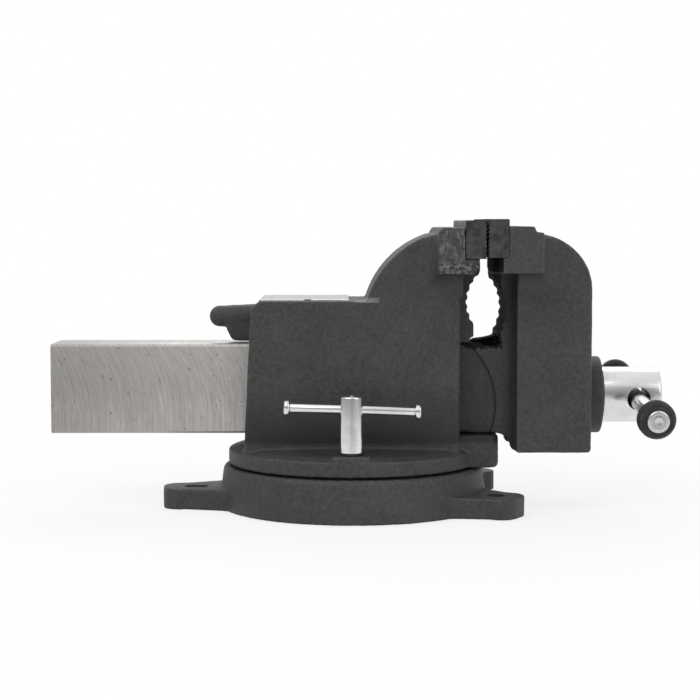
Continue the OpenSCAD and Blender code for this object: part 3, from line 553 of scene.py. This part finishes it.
def milled(name):
    """Grey milled iron, with the arcs of the cutter across its sides."""
    g = Graph(name)
    x, z = g.axis(0), g.axis(2)
    rise = g.math("SUBTRACT", z, MILL_Z)
    reach = g.math("SQRT", g.math("SUBTRACT", MILL_R ** 2, g.product(rise, rise)))
    wander = g.product(g.noise(55.0, 2.0), 2 * MM)
    across = g.math("ADD", g.math("SUBTRACT", x, reach), wander)
    arcs = g.node("ShaderNodeCombineXYZ", {0: across, 1: 0.0, 2: g.product(z, 0.035)}).outputs[0]
    coarse = g.noise(520.0, 2.0, 0.5, arcs)
    fine = g.noise(1900.0, 3.0, 0.6, arcs)
    patch = g.noise(36.0, 3.0, 0.6)
    speck = g.ramp(g.noise(320.0, 2.0, 0.5), 0.66, 0.74)
    tone = g.math("ADD", g.product(coarse, 0.35), g.product(fine, 0.65))
    bright = g.ramp(x, *BAR_BRIGHTENS_X)
    low = g.mix(bright, grey(0.28, 0.045), grey(0.37, 0.045))
    high = g.mix(bright, grey(0.46, 0.040), grey(0.64, 0.040))
    colour = g.mix(g.ramp(tone, 0.36, 0.64), low, high)
    colour = g.mix(g.ramp(patch, 0.35, 0.7, 0.0, 0.30), colour, grey(0.32, 0.04))
    colour = g.mix(g.product(speck, 0.5), colour, grey(0.12, 0.05))
    height = g.math("ADD", g.product(coarse, 0.6), g.product(fine, 0.4))
    return g.set(Base_Color=colour, Metallic=0.75, Roughness=g.ramp(patch, 0.3, 0.7, 0.40, 0.52),
                 Normal=g.bump(height, 0.35, 0.0005))


def blackened(name):
    """Blackened hardened steel, scuffed a little brighter in spots."""
    g = Graph(name)
    mottle = g.noise(160.0, 4.0, 0.6)
    fine = g.noise(1500.0, 2.0, 0.5)
    scuff = g.ramp(g.noise(420.0, 3.0, 0.6), 0.60, 0.72)
    colour = g.mix(g.ramp(mottle, 0.38, 0.62), grey(0.026), grey(0.062))
    colour = g.mix(g.product(scuff, 0.35), colour, grey(0.12))
    return g.set(Base_Color=colour, Metallic=0.35, Roughness=g.ramp(mottle, 0.3, 0.7, 0.42, 0.56),
                 Normal=g.bump(g.math("ADD", mottle, g.product(fine, 0.3)), 0.3, 0.0006))


def turned(name, axis, tone, rough, bore=None):
    """Bright plate over a turned surface, with fine rings along an axis; a bore stays dull: rougher,
    and darker by painted shade.
    """
    g = Graph(name)
    stretch = [18.0, 18.0, 18.0]
    stretch[axis] = 2600.0
    rings = g.noise(1.0, 2.0, 0.5, g.stretched(*stretch))
    haze = g.noise(70.0, 3.0, 0.6)
    colour = g.mix(g.ramp(haze, 0.35, 0.7), grey(tone), grey(tone * 0.88, 0.005))
    shine = g.ramp(haze, 0.3, 0.7, rough, rough + 0.10)
    if bore:
        # Painted shade on the wall of the bore
        inside = g.math("LESS_THAN", g.distance_to_line(*bore), HOLE_R + 0.25 * MM)
        colour = g.mix(inside, colour, grey(0.20))
        shine = g.math("ADD", shine, g.product(inside, 0.25))
    return g.set(Base_Color=colour, Metallic=1.0, Roughness=shine,
                 Normal=g.bump(rings, 0.12, 0.0002))


def rubber(name):
    """Matt black rubber with a little dust."""
    g = Graph(name)
    fine = g.noise(1400.0, 3.0, 0.6)
    dust = g.noise(120.0, 3.0, 0.6)
    colour = g.mix(g.ramp(dust, 0.4, 0.7), grey(0.028), grey(0.045))
    return g.set(Base_Color=colour, Roughness=g.ramp(fine, 0.3, 0.7, 0.62, 0.78),
                 Normal=g.bump(fine, 0.35, 0.0004), Specular_IOR_Level=0.35)


def raw_iron(name):
    """Unpainted rough cast iron."""
    g = Graph(name)
    mottle = g.noise(260.0, 5.0, 0.65)
    colour = g.mix(g.ramp(mottle, 0.35, 0.65), grey(0.10, 0.06), grey(0.19, 0.04))
    return g.set(Base_Color=colour, Metallic=0.6, Roughness=g.ramp(mottle, 0.3, 0.7, 0.5, 0.7),
                 Normal=g.bump(mottle, 0.6, 0.0010))


def zinc(name, tone):
    """Dull metal with soft spangles: zinc plate or, with a dark tone, spring wire."""
    g = Graph(name)
    spangle = g.noise(300.0, 3.0, 0.6)
    colour = g.mix(g.ramp(spangle, 0.35, 0.65), grey(tone * 0.82), grey(tone))
    return g.set(Base_Color=colour, Metallic=0.9, Roughness=g.ramp(spangle, 0.3, 0.7, 0.32, 0.46),
                 Normal=g.bump(spangle, 0.2, 0.0003))


def wear(ob, mat):
    ob.data.materials.clear()
    ob.data.materials.append(mat)


def finish_piece(ob, mat, body, node):
    wear(ob, mat)
    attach(ob, body)
    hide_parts(node)


# ---------- castings ----------

def node_copy(name, node):
    """A copy of a CAD piece's mesh, with its doubled points merged."""
    mesh = frame["nodes"][node].data.copy()
    mesh.materials.clear()
    ob = link(name, mesh)
    work = bmesh.new()
    work.from_mesh(mesh)
    bmesh.ops.remove_doubles(work, verts=work.verts, dist=1e-6)
    work.to_mesh(mesh)
    work.free()
    return ob


def keep_side(ob, x, sign):
    """Keeps the part of a mesh on one side of a plane across X, and closes it."""
    work = bmesh.new()
    work.from_mesh(ob.data)
    geom = work.verts[:] + work.edges[:] + work.faces[:]
    done = bmesh.ops.bisect_plane(work, geom=geom, plane_co=(x, 0, 0), plane_no=(-sign, 0, 0),
                                  clear_outer=True)
    edges = [e for e in done["geom_cut"] if isinstance(e, bmesh.types.BMEdge)]
    bmesh.ops.triangle_fill(work, use_beauty=True, edges=edges)
    bmesh.ops.recalc_face_normals(work, faces=work.faces)
    work.to_mesh(ob.data)
    work.free()
    return ob


def soften_casting(ob, swell):
    """Remeshes a casting finely, rounds its edges and gives its skin the swell of cast iron."""
    mod = ob.modifiers.new("remesh", "REMESH")
    mod.mode = "VOXEL"
    mod.voxel_size = VOXEL
    mod = ob.modifiers.new("smooth", "SMOOTH")
    mod.factor = 0.5
    mod.iterations = SMOOTH_PASSES
    apply_modifiers(ob)
    depth = np.array([swell(Vector(p)) for p in points(ob)])
    set_points(ob, points(ob) - normals(ob) * depth[:, None])


def prism(outline, y0, y1):
    """A solid lump with an outline in X and Z, between two planes across Y."""
    n = len(outline)
    verts = [(x, y, z) for y in (y0, y1) for x, z in outline]
    faces = [tuple(range(n)), tuple(range(2 * n - 1, n - 1, -1))]
    faces += [(i, (i + 1) % n, (i + 1) % n + n, i + n) for i in range(n)]
    return recalc(from_data("lump", verts, faces))


def skin(p):
    """Depth of the cast skin's hollows at a point."""
    broad = noise.noise(p * 45.0)
    grain = noise.noise(p * 240.0 + Vector((7.3, 1.1, 4.2)))
    return MM * (0.16 + 0.16 * broad + 0.13 * grain)


def clamp_to_box(ob, node):
    low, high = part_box(node)
    set_points(ob, np.clip(points(ob), np.array(low), np.array(high)))


def scraped_head(p):
    """Extra pits in the rear jaw head's end, where the skin is broken out."""
    if p.x < PITTED_X or p.y > PITTED_Y or p.z < PITTED_Z:
        return skin(p)
    pits = noise.fractal(p * 330.0, 0.8, 2.1, 3)
    edge = limit((PITTED_Y - p.y) / (4 * MM), 0.0, 1.0)
    return skin(p) + edge * MM * (0.55 + 0.75 * pits)


def slotted_base(p):
    """Keeps the walls of the base's circular T-slot clear of the lock bolts."""
    in_slot = (T_SLOT_R[0] < math.hypot(p.x, p.y) < T_SLOT_R[1]
               and T_SLOT_FLOOR_Z < p.z < PARTING_Z - 2 * MM)
    return max(0.0, skin(p)) + (T_SLOT_SET_BACK if in_slot else 0.0)


def rear_lip():
    """The rough lip under the rear pipe jaw, over the slide."""
    outline = [(0.0790, 0.1286), (0.0895, 0.1288), (0.0902, 0.1350), (0.0790, 0.1370)]
    return prism(outline, -PIPE_JAW_HALF_Y, PIPE_JAW_HALF_Y)


def front_toe():
    """The low toe under the far half of the front pipe jaw."""
    outline = [(0.0930, 0.1262), (0.1170, 0.1240), (0.1170, 0.1340),
               (0.1110, 0.1322), (0.1050, 0.1306), (0.0940, 0.1290)]
    return prism(outline, 4 * MM, PIPE_JAW_HALF_Y)


def cast(ob, swell, mat, body, node):
    """Gives a casting its rough painted skin, inside the box of its CAD piece."""
    soften_casting(ob, swell)
    clamp_to_box(ob, node)
    finish_piece(shade(ob, 180), mat, body, node)


def castings():
    base_paint = paint("black_paint_base", shaded_bolt_holes_and_foot)
    body_paint = paint("black_paint_body", painted_foot_shade, ground_pad, scrapes)
    jaw_paint = paint("black_paint_jaw", neck_step_shade_and_marks, unlit_gaps)
    base = node_copy("swivel_base_cast", "swivel_base")
    body = join("stationary_body_cast", [node_copy("body", "stationary_body"), rear_lip()])
    neck = keep_side(node_copy("jaw", "dynamic_jaw"), SPLIT_X, 1)
    jaw = join("dynamic_jaw_cast", [neck, front_toe()])
    bar = keep_side(node_copy("slide_bar_milled", "dynamic_jaw"), SPLIT_X + 2 * MM, -1)
    cast(base, slotted_base, base_paint, "base", "swivel_base")
    cast(body, scraped_head, body_paint, "upper", "stationary_body")
    cast(jaw, skin, jaw_paint, "front_jaw", "dynamic_jaw")
    bevel(bar, 0.45 * MM, 2, 30)
    clamp_to_box(bar, "dynamic_jaw")
    finish_piece(shade(bar, 30), milled("milled_iron"), "front_jaw", "dynamic_jaw")


# ---------- jaw inserts ----------

def serration(i, j):
    """Depth of the diamond pattern at a place of the grid, from 0 at the points to 1."""
    return max(min(t % 4, 4 - t % 4) / 2 for t in (i + j, i - j))


def grid_border(rows, cols):
    """Indices of the outer points of a grid, in order round it."""
    width = cols + 1
    border = list(range(width))
    border += [j * width + cols for j in range(1, rows + 1)]
    border += [rows * width + i for i in range(cols - 1, -1, -1)]
    border += [j * width for j in range(rows - 1, 0, -1)]
    return border


def serrated_face(low, high, tip_x, sign):
    """Points and faces of the gripping face, whose hollows go against the sign of X."""
    rows, cols = INSERT_ROWS, INSERT_COLS
    width = cols + 1
    verts, faces = [], []
    for j in range(rows + 1):
        for i in range(width):
            y = -high.y + 2 * high.y * i / cols
            z = low.z + (high.z - low.z) * j / rows
            verts.append((tip_x - sign * SERRATION_DEPTH * serration(i, j), y, z))
    for j in range(rows):
        for i in range(cols):
            a = j * width + i
            if (i + j) % 2:
                faces += [(a, a + 1, a + width), (a + 1, a + width + 1, a + width)]
            else:
                faces += [(a, a + 1, a + width + 1), (a, a + width + 1, a + width)]
    return verts, faces


def insert_block(node, back_x, tip_x):
    """An insert with a serrated face, a chamfered back and the seats of its two screws."""
    low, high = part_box(node)
    sign = 1 if tip_x > back_x else -1
    verts, faces = serrated_face(low, high, tip_x, sign)
    border = grid_border(INSERT_ROWS, INSERT_COLS)
    n = len(border)
    side = len(verts)
    verts += [(back_x + sign * INSERT_CHAMFER, *verts[k][1:]) for k in border]
    back = len(verts)
    half_y = high.y - INSERT_CHAMFER
    for k in border:
        y = limit(verts[k][1], -half_y, half_y)
        z = limit(verts[k][2], low.z + INSERT_CHAMFER, high.z - INSERT_CHAMFER)
        verts.append((back_x, y, z))
    for k in range(n):
        m = (k + 1) % n
        faces.append((border[k], side + k, side + m, border[m]))
        faces.append((side + k, back + k, back + m, side + m))
    faces.append(tuple(range(back, back + n)))
    ob = recalc(from_data(node + "_serrated", verts, faces))
    for y in (-SCREW_Y, SCREW_Y):
        hole_at = (tip_x - sign * SCREW_HOLE_DEPTH, y, (low.z + high.z) / 2)
        drill(ob, SCREW_HOLE_R, 0, 0.02, 48, axis_frame(hole_at, (sign, 0, 0)))
    return shade(ob, 20)


def inserts():
    steel = blackened("blackened_steel_insert")
    for node, body in (("rear_jaw_insert", "upper"), ("front_jaw_insert", "front_jaw")):
        low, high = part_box(node)
        ends = (low.x, high.x) if body == "upper" else (high.x, low.x)
        finish_piece(insert_block(node, *ends), steel, body, node)
    for node in ("rear_insert_screws", "front_insert_screws"):
        wear(frame["nodes"][node], steel)


# ---------- spindle and handle ----------

def thread_ridge(x0, x1, z):
    """The square thread's ridge, as one swept solid with faded ends."""
    steps = 40
    total = int((x1 - x0) / LEAD * steps)
    base_r = ROOT_R - 0.4 * MM
    half_root, half_tip = 0.27 * LEAD, 0.22 * LEAD
    verts, faces = [], []
    for i in range(total + 1):
        a = 2 * math.pi * i / steps
        x = x0 + LEAD * i / steps
        fade = min(1.0, i / steps * 2, (total - i) / steps * 2)
        tip_r = base_r + (THREAD_R - base_r) * max(0.15, fade)
        for dx, r in ((-half_root, base_r), (-half_tip, tip_r),
                      (half_tip, tip_r), (half_root, base_r)):
            verts.append((x + dx, r * math.cos(a), z + r * math.sin(a)))
    for i in range(total):
        for j in range(4):
            k = (j + 1) % 4
            faces.append((4 * i + j, 4 * i + 4 + j, 4 * i + 4 + k, 4 * i + k))
    faces += [(0, 1, 2, 3), (4 * total + 3, 4 * total + 2, 4 * total + 1, 4 * total)]
    return recalc(from_data("thread", verts, faces))


def spindle_head(r, place):
    """The round head, with a shallow dish and a centre mark in its end."""
    profile = [(0, 0), (r - 1.0 * MM, 0)]
    profile += fillet(r - 1.0 * MM, 1.0 * MM, 1.0 * MM, -90, 0, 3)
    profile += fillet(r - 2.2 * MM, HEAD_L - 2.2 * MM, 2.2 * MM, 0, 90, 6)
    profile += [(0.30 * r, HEAD_L), (0.28 * r, HEAD_L - 0.4 * MM), (0.9 * MM, HEAD_L - 0.4 * MM),
                (0, HEAD_L - 1.6 * MM)]
    return recalc(lathe("head", profile, 96, place))


def spindle():
    low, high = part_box("spindle")
    z = (low.z + high.z) / 2
    head_x = high.x - HEAD_L
    hole_at = middle("handle_bar")
    hole_at.z = z
    slide = joint_axis("handle_slide")
    hole_axis = Vector((0, slide.y, slide.z)).normalized()
    head = spindle_head((high.z - low.z) / 2, axis_frame((head_x, 0, z), (1, 0, 0)))
    drill(head, HOLE_R, -0.05, 0.05, 64, axis_frame(hole_at, hole_axis))
    bevel(head, 0.7 * MM, 3, 50)
    profile = [(0, low.x), (ROOT_R - 2 * MM, low.x), (ROOT_R, low.x + 2 * MM),
               (ROOT_R, SHANK_X - 2 * MM), (THREAD_R, SHANK_X), (THREAD_R, head_x + MM),
               (0, head_x + MM)]
    rod = recalc(lathe("rod", profile, 64, axis_frame((0, 0, z), (1, 0, 0))))
    ridge = thread_ridge(low.x + 4 * MM, SHANK_X - 2.5 * MM, z)
    ob = shade(join("spindle_turned", [head, rod, ridge]), 32)
    plate = turned("plated_steel_spindle", 0, 0.80, 0.20, bore=(hole_at, hole_axis))
    finish_piece(ob, plate, "screw", "spindle")


def handle_bar(place, mat):
    half = HANDLE_HALF - 2 * MM
    ob = cylinder("handle_bar_turned", HANDLE_R, -half, half, 64, place)
    bevel(ob, 0.3 * MM)
    finish_piece(shade(ob, 35), mat, "handle", "handle_bar")


def handle_cap(side, place, mat):
    """An end cap with a turned groove and a centre mark in its end."""
    start, end = HANDLE_HALF - CAP_L, HANDLE_HALF
    profile = [(0, start), (HANDLE_R, start), (CAP_R - 0.3 * MM, start), (CAP_R, start + 0.4 * MM)]
    profile += fillet(CAP_R - 1.5 * MM, end - 1.9 * MM, 1.5 * MM, 0, 90, 5)
    profile += [(5.0 * MM, end - 0.4 * MM), (4.6 * MM, end - 1.0 * MM), (4.1 * MM, end - 0.9 * MM),
                (3.7 * MM, end - 0.05 * MM), (1.2 * MM, end), (0.5 * MM, end - 0.5 * MM),
                (0, end - 0.6 * MM)]
    ob = lathe(f"{side}_handle_cap_turned", profile, 64, place)
    finish_piece(shade(ob, 40), mat, "handle", f"{side}_handle_cap")


def handle_ring(side, place, mat):
    """A rubber ring with ribs round its rim and a groove in each face."""
    start, end = HANDLE_HALF - CAP_L - RING_L, HANDLE_HALF - CAP_L
    groove = [(4.2 * MM, 0.0), (3.8 * MM, 0.35 * MM), (3.2 * MM, 0.35 * MM), (2.8 * MM, 0.0)]
    loop = [(HANDLE_R, start + 0.6 * MM), (HANDLE_R + 0.6 * MM, start)]
    loop += [(RING_R - inward, start + deep) for inward, deep in groove]
    loop += fillet(RING_R - 1.8 * MM, start + 1.8 * MM, 1.8 * MM, 270, 360, 4)
    loop += fillet(RING_R - 1.8 * MM, end - 1.8 * MM, 1.8 * MM, 0, 90, 4)
    loop += [(RING_R - inward, end - deep) for inward, deep in reversed(groove)]
    loop += [(HANDLE_R + 0.6 * MM, end), (HANDLE_R, end - 0.6 * MM)]

    def rib(r, i):
        grip = limit((r - RING_R + 1.4 * MM) / (0.9 * MM), 0.0, 1.0)
        return r - (0.60 * MM * grip if i % 4 in (2, 3) else 0.0)

    ob = recalc(ring_lathe(f"{side}_handle_ring_ribbed", loop, 4 * 64, place, rib))
    finish_piece(shade(ob, 35), mat, "handle", f"{side}_handle_ring")


def handle():
    axis = joint_axis("handle_slide")
    centre = middle("handle_bar")
    bright = turned("plated_steel_handle", 1, 0.66, 0.22)
    handle_bar(axis_frame(centre, axis), bright)
    black = rubber("ribbed_rubber")
    for side, sign in (("near", -1), ("far", 1)):
        place = axis_frame(centre, axis * sign)
        handle_cap(side, place, bright)
        handle_ring(side, place, black)


# ---------- swivel locks ----------

def lock_nut(side, axis, mat):
    """A round nut with a chamfered foot, a rounded rim and a centre mark, drilled for its bar."""
    low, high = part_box(f"{side}_lock_nut")
    mid = (low + high) / 2
    r = (high.x - low.x) / 2
    tall = high.z - low.z
    profile = [(0, 0), (r - 1.6 * MM, 0), (r, 2.2 * MM)]
    profile += fillet(r - 1.5 * MM, tall - 1.5 * MM, 1.5 * MM, 0, 90, 5)
    profile += [(2.2 * MM, tall), (1.6 * MM, tall - 0.9 * MM), (0, tall - 1.8 * MM)]
    place = Matrix.Translation((mid.x, mid.y, low.z))
    ob = recalc(lathe(f"{side}_lock_nut_turned", profile, 72, place))
    hole_at = (mid.x, mid.y, high.z - LOCK_HOLE_BELOW_TOP)
    drill(ob, LOCK_HOLE_R, -0.03, 0.03, 40, axis_frame(hole_at, axis))
    bevel(ob, 0.35 * MM, 2, 50)
    finish_piece(shade(ob, 35), mat, f"{side}_nut", f"{side}_lock_nut")


def lock_bar(side, axis, mat):
    half = LOCK_BAR_HALF - MM
    place = axis_frame(middle(f"{side}_lock_bar"), axis)
    ob = cylinder(f"{side}_lock_bar_turned", LOCK_BAR_R, -half, half, 40, place)
    bevel(ob, 0.3 * MM)
    finish_piece(shade(ob, 35), mat, f"{side}_bar", f"{side}_lock_bar")


def lock_knobs(side, axis, mat):
    """The rounded knobs on both ends of a lock bar."""
    start, end = LOCK_BAR_HALF - KNOB_L, LOCK_BAR_HALF
    profile = [(0, start), (LOCK_BAR_R + 0.2 * MM, start), (LOCK_BAR_R + 0.6 * MM, start + 0.2 * MM)]
    profile += fillet(KNOB_R - 1.4 * MM, start + 1.6 * MM, 1.4 * MM, -70, 0, 4)
    profile += fillet(KNOB_R - 1.8 * MM, end - 1.8 * MM, 1.8 * MM, 0, 70, 5)
    profile += [(1.8 * MM, end), (0, end)]
    centre = middle(f"{side}_lock_bar")
    knobs = [lathe("knob", profile, 48, axis_frame(centre, axis * sign)) for sign in (-1, 1)]
    ob = shade(join(f"{side}_lock_knobs_turned", knobs), 40)
    finish_piece(ob, mat, f"{side}_bar", f"{side}_lock_knobs")


def swivel_locks():
    bright = turned("plated_steel_lock", 2, 0.84, 0.13)
    bright_bar = turned("plated_steel_lock_bar", 0, 0.80, 0.18)
    for side in ("near", "far"):
        axis = joint_axis(f"{side}_bar_slide")
        lock_nut(side, axis, bright)
        lock_bar(side, axis, bright_bar)
        lock_knobs(side, axis, bright_bar)


# ---------- small inner pieces ----------

def spring():
    """The coil spring, with its end turns a little closer than the others."""
    low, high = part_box("spindle_spring")
    wire = 1.3 * MM
    r = (high.y - low.y) / 2 - wire
    z = (low.z + high.z) / 2
    turns, steps, ring = 3.6, 48, 12
    total = int(turns * steps)
    span = high.x - low.x - 2 * wire
    verts, faces = [], []
    for i in range(total + 1):
        a = 2 * math.pi * i / steps
        t = i / total
        ease = 3 * t * t - 2 * t ** 3
        x = low.x + wire + span * (0.35 * ease + 0.65 * t)
        for j in range(ring):
            b = 2 * math.pi * j / ring
            q = r + wire * math.cos(b)
            verts.append((x + wire * math.sin(b), q * math.cos(a), z + q * math.sin(a)))
    for i in range(total):
        for j in range(ring):
            k = (j + 1) % ring
            faces.append((i * ring + j, i * ring + ring + j, i * ring + ring + k, i * ring + k))
    faces.append(tuple(range(ring)))
    faces.append(tuple(total * ring + j for j in reversed(range(ring))))
    ob = shade(recalc(from_data("spindle_spring_coil", verts, faces)), 50)
    clamp_to_box(ob, "spindle_spring")
    finish_piece(ob, zinc("spring_wire", 0.22), "screw", "spindle_spring")


def small_nodes():
    plate = zinc("zinc_plate", 0.50)
    for node in ("nut_bolt", "nut_bolt_washer", "lock_bolts", "retaining_collar", "collar_pin"):
        wear(frame["nodes"][node], plate)
    wear(frame["nodes"]["spindle_nut"], raw_iron("raw_iron_nut"))


# ---------- studio ----------

CAMERA_AT = (-0.0062, -1.365, 0.2210)
CAMERA_AHEAD = Vector((1 / 350, 1.0, -64 / 875))
LAMP_AIM = Vector((0, 0, 0.1))
DARK_EDGE_X, DARK_EDGE_Y = (0.20, 0.40), (-0.47, -0.40)
GREY_SIDE_X, GREY_SIDE_Y = (-0.16, 0.42), -0.44
SHADOW_FADES = (0.25, 0.80)


class Studio(Graph):
    """Nodes of the floor's or the world's shader; each kind of ray sees its own brightness."""

    def __init__(self, tree, coord):
        tree.nodes.clear()
        self.tree = tree
        self.where = tree.nodes.new("ShaderNodeTexCoord").outputs[coord]
        self.path = tree.nodes.new("ShaderNodeLightPath").outputs


def floor():
    """White floor that keeps the shadow; plated parts see a dark edge and a grey far side in it."""
    half = 6.0
    ob = from_data("floor", [(-half, -half, 0), (half, -half, 0), (half, half, 0), (-half, half, 0)],
                   [(0, 1, 2, 3)])
    ob.location.z = -0.5 * MM
    mat = bpy.data.materials.new("floor_white")
    mat.use_nodes = True
    g = Studio(mat.node_tree, "Object")
    x, y = g.axis(0), g.axis(1)
    edge = g.product(g.within(y, *DARK_EDGE_Y), g.within(x, *DARK_EDGE_X))
    side = g.product(g.math("LESS_THAN", y, GREY_SIDE_Y), g.within(x, *GREY_SIDE_X))
    seen = g.blend(edge, g.blend(side, 0.94, 0.66), 0.05)
    glow = g.node("ShaderNodeEmission", {"Strength": g.blend(g.path["Is Camera Ray"], seen, 1.0)})
    away = g.ramp(g.length(g.where), *SHADOW_FADES, 0.78, 1.0)
    share = g.blend(g.path["Is Camera Ray"], g.path["Is Glossy Ray"], away)
    diffuse = g.node("ShaderNodeBsdfDiffuse", {"Color": grey(0.90)})
    mix = g.node("ShaderNodeMixShader", {0: share, 1: diffuse.outputs[0], 2: glow.outputs[0]})
    g.node("ShaderNodeOutputMaterial", {0: mix.outputs[0]})
    ob.data.materials.append(mat)


def world():
    """White to the camera, soft grey light for the rest, and a graded sky in the plated parts."""
    w = bpy.data.worlds.new("studio")
    bpy.context.scene.world = w
    w.use_nodes = True
    g = Studio(w.node_tree, "Generated")
    y, z = g.axis(1), g.axis(2)
    height = g.math("POWER", g.math("MAXIMUM", z, 0.0), 1.2)
    sky = g.math("MULTIPLY_ADD", height, 0.74, 0.22)
    sky = g.blend(g.ramp(y, 0.0, 0.4), sky, 0.92)
    other = g.blend(g.path["Is Glossy Ray"], 0.62, sky)
    level = g.blend(g.path["Is Camera Ray"], other, 1.0)
    back = g.node("ShaderNodeBackground", {"Color": grey(1.0), "Strength": level})
    g.node("ShaderNodeOutputWorld", {0: back.outputs[0]})


def add_to_scene(name, data, at):
    ob = bpy.data.objects.new(name, data)
    bpy.context.scene.collection.objects.link(ob)
    ob.location = at
    return ob


def softbox(name, at, size, power):
    data = bpy.data.lights.new(name, "AREA")
    data.shape = "RECTANGLE"
    data.size, data.size_y = size
    data.energy = power
    ob = add_to_scene(name, data, at)
    ob.rotation_euler = (LAMP_AIM - Vector(at)).to_track_quat("-Z", "Y").to_euler()


def camera():
    data = bpy.data.cameras.new("camera")
    data.sensor_width = 36.0
    data.lens = 90.0
    data.clip_end = 50.0
    ob = add_to_scene("camera", data, CAMERA_AT)
    ob.rotation_euler = CAMERA_AHEAD.to_track_quat("-Z", "Y").to_euler()
    bpy.context.scene.camera = ob


castings()
inserts()
spindle()
handle()
swivel_locks()
spring()
small_nodes()
floor()
world()
softbox("key", (-0.9, -1.2, 1.7), (1.6, 1.2), 16.0)
softbox("fill", (1.3, -1.0, 0.9), (1.2, 1.2), 6.0)
softbox("rim", (0.2, 1.4, 1.5), (1.8, 0.8), 12.0)
camera()
scene = bpy.context.scene
scene.view_settings.view_transform = "Standard"
